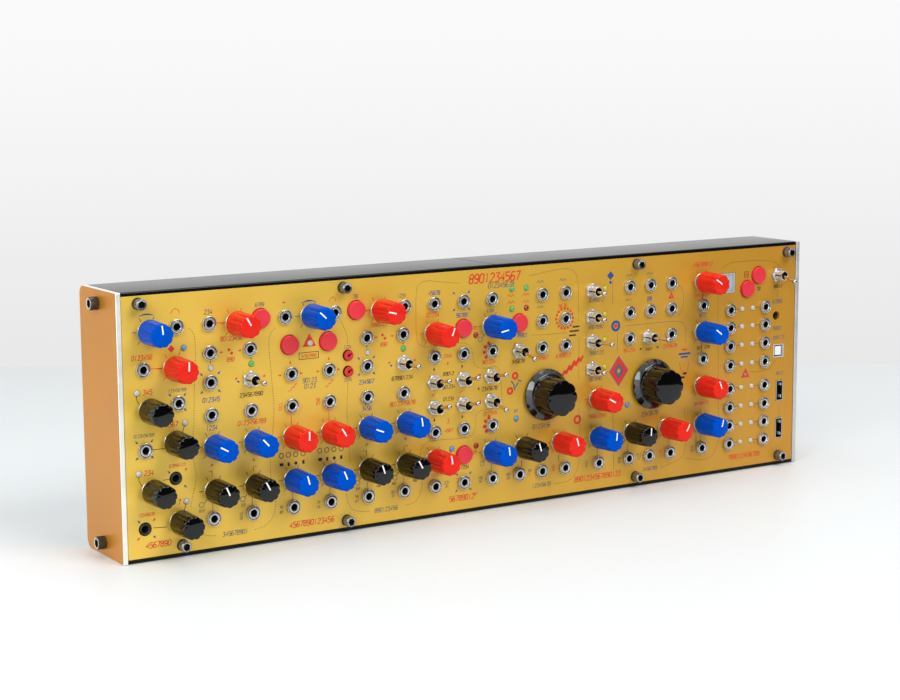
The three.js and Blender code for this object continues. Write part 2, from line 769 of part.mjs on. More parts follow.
// The circuit board with every fixed fitting that stands on it.
function makeCircuitBoard() {
  const fittings = [
    ...jackPoints.map(jack),
    ...plainSocketPoints.map(plainSocket),
    bareSocket(barePoint),
    ...knobPoints.map(potentiometer),
    ...togglePoints.map((point, index) => toggle(point, togglePlaceShares[index][3])),
    ...buttonPoints.map(buttonSwitch),
    ...boardButtonPoints.map(boardButton),
    ...trimmerPoints.map(trimmer),
    fitting(windowPoint, [block(windowSize, windowSize, -windowSetback, bodyBack)], []),
    port(squarePortPoint, squarePortSize, squarePortSize, squareTongueSize, squareTongueSize),
    ...slotPortPoints.map((point) =>
      port(point, slotPortWidth, slotPortHeight, slotTongueWidth, slotTongueHeight),
    ),
  ];
  const edgeInset = wallThickness + railHeight + boardMargin;
  const halfLength = panelWidth / 2 - boardEndMargin;
  const plate = boxBetween(
    new THREE.Vector3(-halfLength, panelFace + boardSetback, edgeInset),
    new THREE.Vector3(halfLength, panelFace + boardSetback + boardThickness, caseHeight - edgeInset),
  );
  const outsides = fittings.flatMap((piece) => piece.outsides);
  const bores = fittings.flatMap((piece) => piece.bores);
  const cores = fittings.flatMap((piece) => piece.cores);
  const whole = joined([solidOf(plate), ...outsides]);
  const drilled = bores.reduce((board, cut) => board.subtract(cut), whole);
  return cores.reduce((board, core) => board.add(core), drilled);
}

// A small knob: fluted, tapered body with its shaft.
function makeKnob() {
  const body = fluted(knobLobes, knobFluteDepth, [
    [0, knobLift + knobHeight],
    [knobFaceRadius, knobLift + knobHeight],
    [knobBaseRadius, knobLift],
    [0, knobLift],
  ]);
  const shaft = plainRound(shaftRadius, shaftSides, knobLift + overrun, shaftEnd);
  return joined([solidOf(body), solidOf(shaft)]);
}

// A tuning knob: fluted cap on a bevelled skirt, hollowed underneath where it clears the bush, and a shaft.
function makeTuningKnob() {
  const cap = fluted(tuningLobes, tuningFluteDepth, [
    [0, tuningCapTop],
    [tuningCapFaceRadius, tuningCapTop],
    [tuningCapBaseRadius, tuningShoulderTop - overrun],
    [0, tuningShoulderTop - overrun],
  ]);
  const skirt = turned(tuningSkirtSides, [
    [0, tuningShoulderTop],
    [tuningShoulderRadius, tuningShoulderTop],
    [tuningSkirtRadius, tuningSkirtRimTop],
    [tuningSkirtRadius, tuningSkirtLift],
    [0, tuningSkirtLift],
  ]);
  const hollowRadius = clearOf(potBushRadius, shaftSides);
  const hollow = plainRound(hollowRadius, shaftSides, knobLift, tuningSkirtLift - overrun);
  const shaft = plainRound(shaftRadius, shaftSides, knobLift + overrun, shaftEnd);
  return joined([solidOf(cap), solidOf(skirt)]).subtract(solidOf(hollow)).add(solidOf(shaft));
}

// A toggle's lever about its pivot: pivot ball, straight lever and ball tip.
function makeLever() {
  const ballReach = Math.sqrt(leverBallRadius ** 2 - leverRadius ** 2);
  const lever = turned(leverSides, [
    [0, leverBallHeight + leverBallRadius],
    [leverTipRadius, leverBallHeight + leverBallRadius],
    [leverBallRadius, leverBallHeight],
    [leverRadius, leverBallHeight - ballReach],
    [leverRadius, leverNeckRise],
    [leverPivotRadius, 0],
    [0, -leverPivotRadius],
  ]);
  return solidOf(lever);
}

// Finishes.
const finishes = {
  blackMetal: { color: 0x1c1d20, roughness: 0.45, metalness: 0.3 },
  orangeGold: { color: 0xd9822b, roughness: 0.35, metalness: 0.7 },
  panelGold: { color: 0xd4a63a, roughness: 0.4, metalness: 0.6 },
  platedMetal: { color: 0x9a9da0, roughness: 0.4, metalness: 0.6 },
  blue: { color: 0x0a48c8, roughness: 0.25, metalness: 0 },
  red: { color: 0xe8331c, roughness: 0.25, metalness: 0 },
  black: { color: 0x141414, roughness: 0.2, metalness: 0 },
  lever: { color: 0xc9b48a, roughness: 0.2, metalness: 0.9 },
  buttonRed: { color: 0xe02a3a, roughness: 0.4, metalness: 0 },
};

// A named mesh of a solid, in its own finish.
function meshOf(name, solid, finish) {
  const shape = solid.getMesh();
  const geometry = new THREE.BufferGeometry();
  geometry.setAttribute("position", new THREE.BufferAttribute(shape.vertProperties, 3));
  geometry.setIndex(new THREE.BufferAttribute(shape.triVerts, 1));
  geometry.computeVertexNormals();
  const material = new THREE.MeshStandardMaterial({ ...finishes[finish], flatShading: true });
  const mesh = new THREE.Mesh(geometry, material);
  mesh.name = name;
  return mesh;
}

const synthesizer = new THREE.Group();
synthesizer.name = "modular_synthesizer";
synthesizer.add(meshOf("case_shell", makeCaseShell(), "blackMetal"));
synthesizer.add(meshOf("left_cheek", makeCheek(-1), "orangeGold"));
synthesizer.add(meshOf("right_cheek", makeCheek(1), "orangeGold"));
synthesizer.add(meshOf("front_panel", makeFrontPanel(), "panelGold"));
synthesizer.add(meshOf("circuit_board", makeCircuitBoard(), "platedMetal"));

// Knobs stand with their pointers at the turn that the table gives.
knobPlaceShares.forEach(([name, colour, , , turn], index) => {
  const knob = meshOf(name, makeKnob(), colour);
  knob.position.copy(smallKnobPoints[index]);
  knob.rotation.y = turn * degree;
  synthesizer.add(knob);
});
tuningPlaceShares.forEach(([name], index) => {
  const knob = meshOf(name, makeTuningKnob(), "black");
  knob.position.copy(tuningPoints[index]);
  synthesizer.add(knob);
});

// Levers rest tipped to one side, or upright where they have a middle place.
togglePlaceShares.forEach(([name, , , swing, side], index) => {
  const lever = meshOf(name, makeLever(), "lever");
  lever.position.copy(togglePoints[index]);
  lever.position.y -= leverPivotHeight;
  if (swing === "upright") lever.rotation.x = -side * leverThrow * degree;
  else lever.rotation.z = side * leverThrow * degree;
  synthesizer.add(lever);
});

// Push buttons stand out, their stems a travel and a gap clear of their switches.
buttonPlaceShares.forEach(([name], index) => {
  const pushed = meshOf(name, solidOf(button(switchTop + fitGap + buttonTravel)), "buttonRed");
  pushed.position.copy(buttonPoints[index]);
  synthesizer.add(pushed);
});

export default synthesizer;
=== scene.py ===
import math

import bpy
from mathutils import Matrix, Vector
from mathutils.geometry import tessellate_polygon


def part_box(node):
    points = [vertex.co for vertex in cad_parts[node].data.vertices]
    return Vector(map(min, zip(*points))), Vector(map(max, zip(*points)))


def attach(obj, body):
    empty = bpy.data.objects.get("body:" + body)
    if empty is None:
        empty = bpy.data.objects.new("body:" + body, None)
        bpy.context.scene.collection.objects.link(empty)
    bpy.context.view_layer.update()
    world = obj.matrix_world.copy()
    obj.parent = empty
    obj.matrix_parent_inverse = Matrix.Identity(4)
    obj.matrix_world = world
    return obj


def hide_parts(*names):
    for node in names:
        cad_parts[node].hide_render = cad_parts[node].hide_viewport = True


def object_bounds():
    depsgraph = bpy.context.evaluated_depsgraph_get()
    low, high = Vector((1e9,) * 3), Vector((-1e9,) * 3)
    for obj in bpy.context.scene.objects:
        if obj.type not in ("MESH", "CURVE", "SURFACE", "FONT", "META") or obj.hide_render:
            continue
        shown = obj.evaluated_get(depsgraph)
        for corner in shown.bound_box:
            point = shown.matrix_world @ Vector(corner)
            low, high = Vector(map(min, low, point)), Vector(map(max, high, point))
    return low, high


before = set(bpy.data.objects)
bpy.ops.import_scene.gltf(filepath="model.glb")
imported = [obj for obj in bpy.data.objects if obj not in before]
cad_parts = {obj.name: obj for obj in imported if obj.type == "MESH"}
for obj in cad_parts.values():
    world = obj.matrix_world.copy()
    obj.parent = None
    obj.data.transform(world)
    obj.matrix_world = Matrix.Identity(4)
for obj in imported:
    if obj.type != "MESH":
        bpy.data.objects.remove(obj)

cad_low, cad_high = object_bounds()
MM = 0.001
TURN = 2 * math.pi
SHARP_ANGLE = math.radians(32)
CORNER_STEPS = 4


# Places: each matrix takes a drawing in millimetres, x to the right, y up and z out, into the frame.
def facing(x_axis, y_axis, z_axis):
    return Matrix((x_axis, y_axis, z_axis)).transposed().to_4x4()


OUT_OF_PANEL = facing((1, 0, 0), (0, 0, 1), (0, -1, 0))
OUT_OF_LEFT = facing((0, -1, 0), (0, 0, 1), (-1, 0, 0))
OUT_OF_RIGHT = facing((0, 1, 0), (0, 0, 1), (1, 0, 0))
OUT_OF_BACK = facing((-1, 0, 0), (0, 0, 1), (0, 1, 0))
METRES = Matrix.Scale(MM, 4)
UNMOVED = Matrix.Identity(4)

panel_low, panel_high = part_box("front_panel")
left_low, left_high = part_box("left_cheek")
right_low, right_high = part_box("right_cheek")
PANEL_WIDTH = (panel_high.x - panel_low.x) / MM
PANEL_HEIGHT = (panel_high.z - panel_low.z) / MM
PANEL_THICKNESS = (panel_high.y - panel_low.y) / MM
CASE_DEPTH = (left_high.y - left_low.y) / MM
CASE_HEIGHT = (left_high.z - left_low.z) / MM
CHEEK_THICKNESS = (left_high.x - left_low.x) / MM
PANEL_SETBACK = (panel_low.y - left_low.y) / MM
PANEL = Matrix.Translation(panel_low) @ OUT_OF_PANEL @ METRES

# The camera stands where the photograph was taken from.
CAMERA_PLACE = (-0.5798, -0.8864, 0.2475)
CAMERA_HEADING = 32.533
CAMERA_TILT = -8.788
CAMERA_ROLL = -0.29
CAMERA_LENS = 78.8

camera = bpy.data.objects.new("camera", bpy.data.cameras.new("camera"))
bpy.context.scene.collection.objects.link(camera)
bpy.context.scene.camera = camera
camera.data.lens = CAMERA_LENS
aim = Matrix.Rotation(math.radians(-CAMERA_HEADING), 4, "Z")
aim = aim @ Matrix.Rotation(math.radians(90 + CAMERA_TILT), 4, "X")
aim = aim @ Matrix.Rotation(math.radians(CAMERA_ROLL), 4, "Z")
camera.matrix_world = Matrix.Translation(CAMERA_PLACE) @ aim

# Sizes in millimetres. HAIR is how far the tops of the cover and the cheeks stay below the case's height.
SHEET = 1.7
HAIR = 0.002
BACK_RADIUS = 5.0
RAIL_HEIGHT = 7.4
RAIL_DEPTH = 8.0
FIT_GAP = 0.3
SEAT_GAP = 0.05
SCREW_RADIUS = 2.75
SCREW_TOP = 5.3
CHEEK_SCREW_TOP = 4.5
CHEEK_SCREW_RADIUS = 3.3
SCREW_INSET = 3.8
SCREW_SOCKET_DEPTH = 2.2
CHEEK_SCREW_DEPTH = 22.7
CHEEK_SCREW_INSET = 7.0
JACK_NUT_RADIUS = 3.8
JACK_NUT_TOP = 1.9
JACK_BUSH_RADIUS = 3.0
JACK_BORE_RADIUS = 1.8
PLAIN_SOCKET_RADIUS = 3.2
PLAIN_SOCKET_TOP = 0.8
PLAIN_SOCKET_RIM = 0.35
BARE_HOLE_RADIUS = 2.6
POT_BUSH_RADIUS = 3.9
POT_BUSH_TOP = 2.9
SHAFT_RADIUS = 2.4
SHAFT_END = -6.0
KNOB_LIFT = 3.2
KNOB_HEIGHT = 15.7
KNOB_BASE_RADIUS = 6.3
KNOB_FACE_RADIUS = 5.8
KNOB_LOBES = 10
LOBE_FULLNESS = 0.6
TUNING_TOP = 17.6
TUNING_LIFT = 1.2
TUNING_SKIRT_RADIUS = 14.2
TUNING_SHOULDER_RADIUS = 12.2
TUNING_FACE_RADIUS = 9.9
TUNING_LOBES = 9
TOGGLE_NUT_RADIUS = 4.4
TOGGLE_NUT_TOP = 1.9
TOGGLE_BUSH_RADIUS = 3.1
TOGGLE_BUSH_TOP = 7.0
LEVER_PIVOT = 4.0
LEVER_TOP = 13.1
LEVER_THROW = 13.0
LEVER_BALL = 2.3
BUTTON_RADIUS = 4.8
BUTTON_TOP = 1.9
BUTTON_SKIRT = 3.2
TRIMMER_RADIUS = 2.6
TRIMMER_TOP = 1.5
TRIMMER_SLOT_DEPTH = 0.7
WINDOW_SIZE = 11.7
SQUARE_PORT_SIZE = 8.0
SLOT_PORT_WIDTH = 5.3
SLOT_PORT_HEIGHT = 12.2
BOARD_DEPTH = 11.5
BOARD_THICKNESS = 1.6
INLET_RADIUS = 5.5
INLET_PROUD = 1.5
LIGHT_RADIUS = 1.5

# Columns and rows of the panel, as shares of its width and height.
COLUMN_SHARES = {
    "mixer_inner": 0.0655, "mixer_outer": 0.0235, "voice_a_left": 0.1065, "voice_a_right": 0.1575,
    "delay_left": 0.211, "delay_right": 0.2615, "delay_top_left": 0.204, "delay_top_right": 0.2705,
    "voice_b_left": 0.3135, "voice_b_right": 0.3645, "voice_b_top": 0.367, "gate_left": 0.4095,
    "gate_right": 0.452, "modulator_left": 0.4945, "modulator_second": 0.536, "modulator_third": 0.571,
    "modulator_right": 0.6075, "carrier_left": 0.6615, "carrier_second": 0.711, "carrier_third": 0.745,
    "carrier_right": 0.7805, "control_knobs": 0.835, "control_left": 0.883, "control_right": 0.945,
}
ROW_SHARES = {
    "top": 0.8742, "upper": 0.762, "middle": 0.648, "gate_middle": 0.656, "lower": 0.522,
    "gate_lower": 0.343, "bottom": 0.1165, "mixer_1": 0.873, "mixer_2": 0.7215, "mixer_3": 0.5815,
    "mixer_4": 0.415, "control_1": 0.7285, "control_2": 0.648, "control_3": 0.564, "control_4": 0.477,
    "control_5": 0.369, "control_6": 0.284, "control_7": 0.2, "control_8": 0.1165,
}
CONTROL_ROWS = [f"control_{number}" for number in range(1, 9)]

# Jacks: each column with its rows.
JACK_COLUMNS = [
    ("mixer_inner", ["mixer_1", "mixer_3"]),
    ("mixer_outer", ["mixer_2", "mixer_4"]),
    ("voice_a_left", ["top", "upper", "middle", "lower", "bottom"]),
    ("voice_a_right", ["upper", "lower", "bottom"]),
    ("delay_top_left", ["top"]),
    ("delay_top_right", ["top"]),
    ("delay_left", ["middle", "lower", "bottom"]),
    ("delay_right", ["middle", "lower", "bottom"]),
    ("voice_b_top", ["top"]),
    ("voice_b_left", ["upper", "middle", "lower", "bottom"]),
    ("voice_b_right", ["upper", "lower", "bottom"]),
    ("gate_left", ["top", "gate_middle", "gate_lower", "bottom"]),
    ("gate_right", ["top", "gate_middle", "gate_lower", "bottom"]),
    ("modulator_left", ["top", "gate_middle", "gate_lower", "bottom"]),
    ("modulator_second", ["bottom"]),
    ("modulator_third", ["top", "upper", "middle", "bottom"]),
    ("modulator_right", ["top", "upper", "middle", "bottom"]),
    ("carrier_left", ["bottom"]),
    ("carrier_second", ["top", "upper", "middle", "bottom"]),
    ("carrier_third", ["top", "upper", "bottom"]),
    ("carrier_right", ["top", "upper", "middle", "bottom"]),
    ("control_knobs", ["upper", "lower", "bottom"]),
    ("control_left", CONTROL_ROWS),
    ("control_right", CONTROL_ROWS),
]
PLAIN_SOCKET_SHARES = [(0.061, 0.292), (0.0215, 0.112)]
BARE_HOLE_SHARES = (0.967, 0.681)

# Small knobs: name, colour, column share, row share, turn of the pointer clockwise from upright in degrees.
KNOB_SHARES = [
    ("mixer_knob_1", "blue", 0.0305, 0.863, -3),
    ("mixer_knob_2", "red", 0.0605, 0.718, 5),
    ("mixer_knob_3", "black", 0.029, 0.5665, 0),
    ("mixer_knob_4", "black", 0.059, 0.4335, 0),
    ("mixer_knob_5", "black", 0.03, 0.257, 0),
    ("mixer_knob_6", "black", 0.0632, 0.1245, 0),
    ("voice_a_knob_1", "red", 0.1395, 0.868, -27),
    ("voice_a_knob_2", "blue", 0.1082, 0.401, -60),
    ("voice_a_knob_3", "blue", 0.1597, 0.401, -41),
    ("voice_a_knob_4", "black", 0.1082, 0.2275, -21),
    ("voice_a_knob_5", "black", 0.1597, 0.2275, -25),
    ("delay_knob_1", "blue", 0.237, 0.872, -46),
    ("delay_knob_2", "red", 0.211, 0.401, 5),
    ("delay_knob_3", "red", 0.2615, 0.401, -30),
    ("delay_knob_4", "blue", 0.211, 0.2275, -12),
    ("delay_knob_5", "blue", 0.2615, 0.2275, -19),
    ("voice_b_knob_1", "red", 0.3325, 0.868, -76),
    ("voice_b_knob_2", "blue", 0.313, 0.401, -68),
    ("voice_b_knob_3", "blue", 0.3662, 0.401, -4),
    ("voice_b_knob_4", "black", 0.313, 0.2298, -15),
    ("voice_b_knob_5", "black", 0.3662, 0.2298, -26),
    ("gate_knob_1", "red", 0.408, 0.755, 27),
    ("gate_knob_2", "red", 0.4085, 0.2298, -5),
    ("modulator_knob_1", "blue", 0.493, 0.7625, -102),
    ("modulator_knob_2", "blue", 0.493, 0.2325, -2),
    ("modulator_knob_3", "black", 0.541, 0.2325, -13),
    ("modulator_knob_4", "red", 0.599, 0.2325, -11),
    ("carrier_knob_1", "red", 0.6585, 0.401, -60),
    ("carrier_knob_2", "blue", 0.6585, 0.2325, 12),
    ("carrier_knob_3", "black", 0.715, 0.2325, 9),
    ("carrier_knob_4", "red", 0.774, 0.2325, 36),
    ("control_knob_1", "red", 0.833, 0.868, -53),
    ("control_knob_2", "blue", 0.8335, 0.6455, -51),
    ("control_knob_3", "red", 0.8345, 0.401, -17),
    ("control_knob_4", "blue", 0.8345, 0.229, 22),
]
# The four black mixer knobs carry no pointer line.
BARE_KNOBS = {"mixer_knob_3", "mixer_knob_4", "mixer_knob_5", "mixer_knob_6"}
TUNING_SHARES = [("modulator_tuning_knob", 0.577, 0.4455), ("carrier_tuning_knob", 0.7495, 0.436)]

# Toggles: name, column share, row share, which way the lever swings, and where it rests.
TOGGLE_SHARES = [
    ("voice_a_toggle", 0.1575, 0.6445, "across", 0),
    ("voice_b_toggle", 0.365, 0.6445, "across", 0),
    ("gate_toggle_1", 0.409, 0.551, "upright", 1),
    ("gate_toggle_2", 0.451, 0.551, "upright", 1),
    ("gate_toggle_3", 0.4925, 0.551, "upright", 1),
    ("gate_toggle_4", 0.409, 0.446, "upright", 1),
    ("gate_toggle_5", 0.451, 0.446, "upright", 1),
    ("gate_toggle_6", 0.4925, 0.446, "upright", -1),
    ("modulator_toggle", 0.5355, 0.6455, "upright", -1),
    ("carrier_toggle_1", 0.65, 0.871, "across", -1),
    ("carrier_toggle_2", 0.65, 0.759, "across", -1),
    ("carrier_toggle_3", 0.65, 0.65, "across", 1),
    ("carrier_toggle_4", 0.65, 0.532, "across", -1),
    ("carrier_toggle_5", 0.742, 0.646, "across", 1),
    ("power_toggle", 0.9665, 0.87, "upright", -1),
]
BUTTON_SHARES = [
    ("delay_button_left", 0.21, 0.762),
    ("delay_button_right", 0.2615, 0.762),
    ("control_button", 0.9325, 0.876),
]
FIXED_BUTTON_SHARES = [
    (0.173, 0.876), (0.3005, 0.876), (0.453, 0.762), (0.537, 0.762), (0.453, 0.231), (0.913, 0.818),
]
TRIMMER_SHARES = [(0.2885, 0.698), (0.2885, 0.633)]
WINDOW_SHARES = (0.8785, 0.85)
SQUARE_PORT_SHARES = (0.9725, 0.5175)
SLOT_PORT_SHARES = [(0.9755, 0.3315), (0.9755, 0.156)]
INLET_SHARES = (0.1, 0.5)
TOP_SCREW_SHARES = [0.02, 0.2828, 0.723, 0.983]
BOTTOM_SCREW_SHARES = [0.067, 0.284, 0.7235, 0.974]

# Small lights: their colour and where they stand on the panel, in millimetres.
LIGHTS = {
    "white": [(7, 81.5), (31.6, 64.4), (6.7, 42), (31.4, 25.4), (46.2, 90.2), (101.5, 97.8), (134.8, 90.1)],
    "green": [(68.3, 90.3), (156.3, 90.2), (224.4, 116.5), (233.8, 116.5), (224.4, 105.7)],
    "red": [(201.3, 93.5), (201.2, 33.7), (233.9, 105.7)],
    "blue": [(32, 101.4), (185.8, 33.7), (227.2, 45.7), (302.7, 45.5)],
    "yellow": [(286.6, 112.5), (286.6, 98.2), (286.6, 83.9), (286.6, 68.6)],
}
CONTROL_LIGHT_COLUMNS = (386.3, 394.3)


def spot(column_share, row_share):
    """The point of the panel at these shares of its width and height, in millimetres."""
    return Vector((column_share * PANEL_WIDTH, row_share * PANEL_HEIGHT, 0))


def crossing(column, row):
    return spot(COLUMN_SHARES[column], ROW_SHARES[row])


JACKS = [crossing(column, row) for column, rows in JACK_COLUMNS for row in rows]
PLAIN_SOCKETS = [spot(*shares) for shares in PLAIN_SOCKET_SHARES]
BARE_HOLE = spot(*BARE_HOLE_SHARES)
KNOBS = {name: spot(column, row) for name, _, column, row, _ in KNOB_SHARES}
TUNING_KNOBS = {name: spot(column, row) for name, column, row in TUNING_SHARES}
TOGGLES = {name: spot(column, row) for name, column, row, _, _ in TOGGLE_SHARES}
BUTTONS = {name: spot(column, row) for name, column, row in BUTTON_SHARES}
FIXED_BUTTONS = [spot(*shares) for shares in FIXED_BUTTON_SHARES]
TRIMMERS = [spot(*shares) for shares in TRIMMER_SHARES]
WINDOW = spot(*WINDOW_SHARES)
SQUARE_PORT = spot(*SQUARE_PORT_SHARES)
SLOT_PORTS = [spot(*shares) for shares in SLOT_PORT_SHARES]
PANEL_SCREWS = [Vector((share * PANEL_WIDTH, PANEL_HEIGHT - SCREW_INSET, 0)) for share in TOP_SCREW_SHARES]
PANEL_SCREWS += [Vector((share * PANEL_WIDTH, SCREW_INSET, 0)) for share in BOTTOM_SCREW_SHARES]
for light_column in CONTROL_LIGHT_COLUMNS:
    LIGHTS["white"] += [(light_column, crossing("control_left", row).y) for row in CONTROL_ROWS]


# Drawing: corners in millimetres, and faces that each name one of the piece's finishes by number.
class Shape:
    def __init__(self):
        self.corners = []
        self.faces = []
        self.finishes = []

    def add(self, place, corners, faces, finish):
        first = len(self.corners)
        self.corners += [place @ Vector(corner) for corner in corners]
        self.faces += [[first + corner for corner in face] for face in faces]
        self.finishes += [finish] * len(faces)


def at(point, turn=0.0):
    """A place on the panel's normal, turned clockwise by so many degrees as the player sees it."""
    return Matrix.Translation(point) @ Matrix.Rotation(math.radians(-turn), 4, "Z")


def turned(shape, place, section, sides, finish=0):
    """A closed round about Z, from the front of the axis to its back. An entry of the section is a radius and
    a height. It makes a ring there, or one at each of its steps, which are how far out from there, how far up
    and, where the ring isn't round, its outline. A section that starts and ends off the axis closes up."""
    rows = []
    for radius, height, *steps in section:
        rows += [(radius + out, height + up, *outline) for out, up, *outline in steps or [(0, 0)]]
    corners = []
    rings = []
    for radius, height, *rest in rows:
        if radius == 0:
            rings.append([len(corners)] * sides)
            corners.append((0, 0, height))
            continue
        rings.append(list(range(len(corners), len(corners) + sides)))
        for side in range(sides):
            angle = TURN * side / sides
            reach = rest[0](angle, radius) if rest else radius
            corners.append((reach * math.cos(angle), reach * math.sin(angle), height))
    if rows[0][0] > 0:
        rings.append(rings[0])
    faces = []
    for upper, lower in zip(rings, rings[1:]):
        for side in range(sides):
            after = (side + 1) % sides
            corner_ring = [upper[side], lower[side], lower[after], upper[after]]
            faces.append(list(dict.fromkeys(corner_ring)))
    shape.add(place, corners, faces, finish)


def lobed(count, depth):
    """Convex lobes with narrow grooves between them."""
    def outline(angle, radius):
        return radius - depth * (1 - abs(math.cos(count * angle / 2)) ** LOBE_FULLNESS)
    return outline


def knurled(count, depth):
    def outline(angle, radius):
        return radius - depth * (1 - math.cos(count * angle)) / 2
    return outline


def six_sided(flat_radius):
    """A hexagon of that half width, its corners cut round at the row's radius."""
    def outline(angle, radius):
        folded = (angle + TURN / 12) % (TURN / 6) - TURN / 12
        return min(radius, flat_radius / math.cos(folded))
    return outline


def signed_area(loop):
    return sum(a[0] * b[1] - b[0] * a[1] for a, b in zip(loop, loop[1:] + loop[:1])) / 2


def inset(loop, distance):
    """The loop moved into the material, which lies to the left of its travel."""
    moved = []
    for before, here, after in zip(loop[-1:] + loop[:-1], loop, loop[1:] + loop[:1]):
        one = (Vector(here[:2]) - Vector(before[:2])).normalized()
        two = (Vector(after[:2]) - Vector(here[:2])).normalized()
        left = Vector((-one.y - two.y, one.x + two.x))
        shift = left * distance / (1 + one.dot(two))
        moved.append((here[0] + shift.x, here[1] + shift.y))
    return moved


def stacked(shape, place, levels, finishes=(0, 0, 0)):
    """Loops joined from level to level, from the front to the back, and closed at both ends. The first loop
    of a level is its outline, the others are holes. The finishes are those of front, edge and back."""
    corners = [(x, y, height) for loops, height in levels for loop in loops for x, y in loop]
    counts = [len(loop) for loop in levels[0][0]]
    total = sum(counts)
    walls = []
    for level in range(len(levels) - 1):
        first = level * total
        for count in counts:
            for i in range(count):
                here, after = first + i, first + (i + 1) % count
                walls.append([here, here + total, after + total, after])
            first += count
    front = []
    for triangle in tessellate_polygon([[Vector((x, y, 0)) for x, y in loop] for loop in levels[0][0]]):
        if signed_area([corners[i] for i in triangle]) < 0:
            triangle = triangle[::-1]
        front.append(list(triangle))
    back = [[i + total * (len(levels) - 1) for i in reversed(triangle)] for triangle in front]
    first = len(shape.corners)
    shape.add(place, corners, front, finishes[0])
    for faces, finish in ((walls, finishes[1]), (back, finishes[2])):
        shape.faces += [[first + corner for corner in face] for face in faces]
        shape.finishes += [finish] * len(faces)


def slab(shape, place, loops, front, back, chamfer=0.0, finishes=(0, 0, 0)):
    """A flat plate with its outline and holes between two heights, its edges chamfered."""
    outline, *holes = [list(loop) for loop in loops]
    if signed_area(outline) < 0:
        outline.reverse()
    for hole in holes:
        if signed_area(hole) > 0:
            hole.reverse()
    true = [outline] + holes
    if chamfer == 0:
        stacked(shape, place, [(true, front), (true, back)], finishes)
        return
    drawn_in = [inset(loop, chamfer) for loop in true]
    levels = [(drawn_in, front), (true, front - chamfer), (true, back + chamfer), (drawn_in, back)]
    stacked(shape, place, levels, finishes)


def circle(radius, sides, x=0.0, y=0.0):
    angles = [TURN * side / sides for side in range(sides)]
    return [(x + radius * math.cos(angle), y + radius * math.sin(angle)) for angle in angles]


def arc(radius, start, end, steps, x=0.0, y=0.0):
    angles = [math.radians(start + (end - start) * step / steps) for step in range(steps + 1)]
    return [(x + radius * math.cos(angle), y + radius * math.sin(angle)) for angle in angles]


def rectangle(width, height, radius=0.0, x=0.0, y=0.0):
    """A rectangle with round corners, about its middle."""
    if radius == 0:
        return [(x + a * width / 2, y + b * height / 2) for a, b in ((-1, -1), (1, -1), (1, 1), (-1, 1))]
    half_width, half_height = width / 2 - radius, height / 2 - radius
    corners = [(1, 1, 0), (-1, 1, 90), (-1, -1, 180), (1, -1, 270)]
    points = []
    for a, b, start in corners:
        points += arc(radius, start, start + 90, CORNER_STEPS, x + a * half_width, y + b * half_height)
    return points


def piece(name, shape, finishes, nodes, body="chassis", frame_place=PANEL, home=UNMOVED):
    """Makes the drawn shape a piece that rides on a body and stands for the given nodes."""
    mesh = bpy.data.meshes.new(name)
    mesh.from_pydata(shape.corners, [], shape.faces)
    for finish in finishes:
        mesh.materials.append(finish)
    mesh.polygons.foreach_set("material_index", shape.finishes)
    mesh.transform(frame_place)
    mesh.shade_smooth()
    mesh.set_sharp_from_angle(angle=SHARP_ANGLE)
    thing = bpy.data.objects.new(name, mesh)
    bpy.context.scene.collection.objects.link(thing)
    thing.matrix_world = home
    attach(thing, body)
    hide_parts(*nodes)


# Finishes: colour from two tones, roughness and bump each from their own noise, in the piece's own metres.
NOISE_MIDDLE = (0.3, 0.7)
BROAD_DETAIL = 3.0
FINE_DETAIL = 2.0


def noise(tree, where, scale, detail):
    node = tree.nodes.new("ShaderNodeTexNoise")
    node.inputs["Scale"].default_value = scale
    node.inputs["Detail"].default_value = detail
    tree.links.new(where, node.inputs["Vector"])
    return node.outputs["Fac"]


def ramp(tree, value, start, end, low, high):
    """Maps the value from start and end to low and high."""
    node = tree.nodes.new("ShaderNodeMapRange")
    for socket, number in zip(("From Min", "From Max", "To Min", "To Max"), (start, end, low, high)):
        node.inputs[socket].default_value = number
    tree.links.new(value, node.inputs["Value"])
    return node


def spread(tree, value, low, high):
    """Maps the middle of a noise to the given range."""
    return ramp(tree, value, *NOISE_MIDDLE, low, high).outputs["Result"]


def mixed_tones(tree, blend, factor, one, two):
    """Mixes two tones, each a colour or another node's output."""
    node = tree.nodes.new("ShaderNodeMix")
    node.data_type = "RGBA"
    node.blend_type = blend
    for socket, value in (("Factor", factor), ("A", one), ("B", two)):
        if isinstance(value, bpy.types.NodeSocket):
            tree.links.new(value, node.inputs[socket])
        else:
            node.inputs[socket].default_value = value
    return node.outputs["Result"]


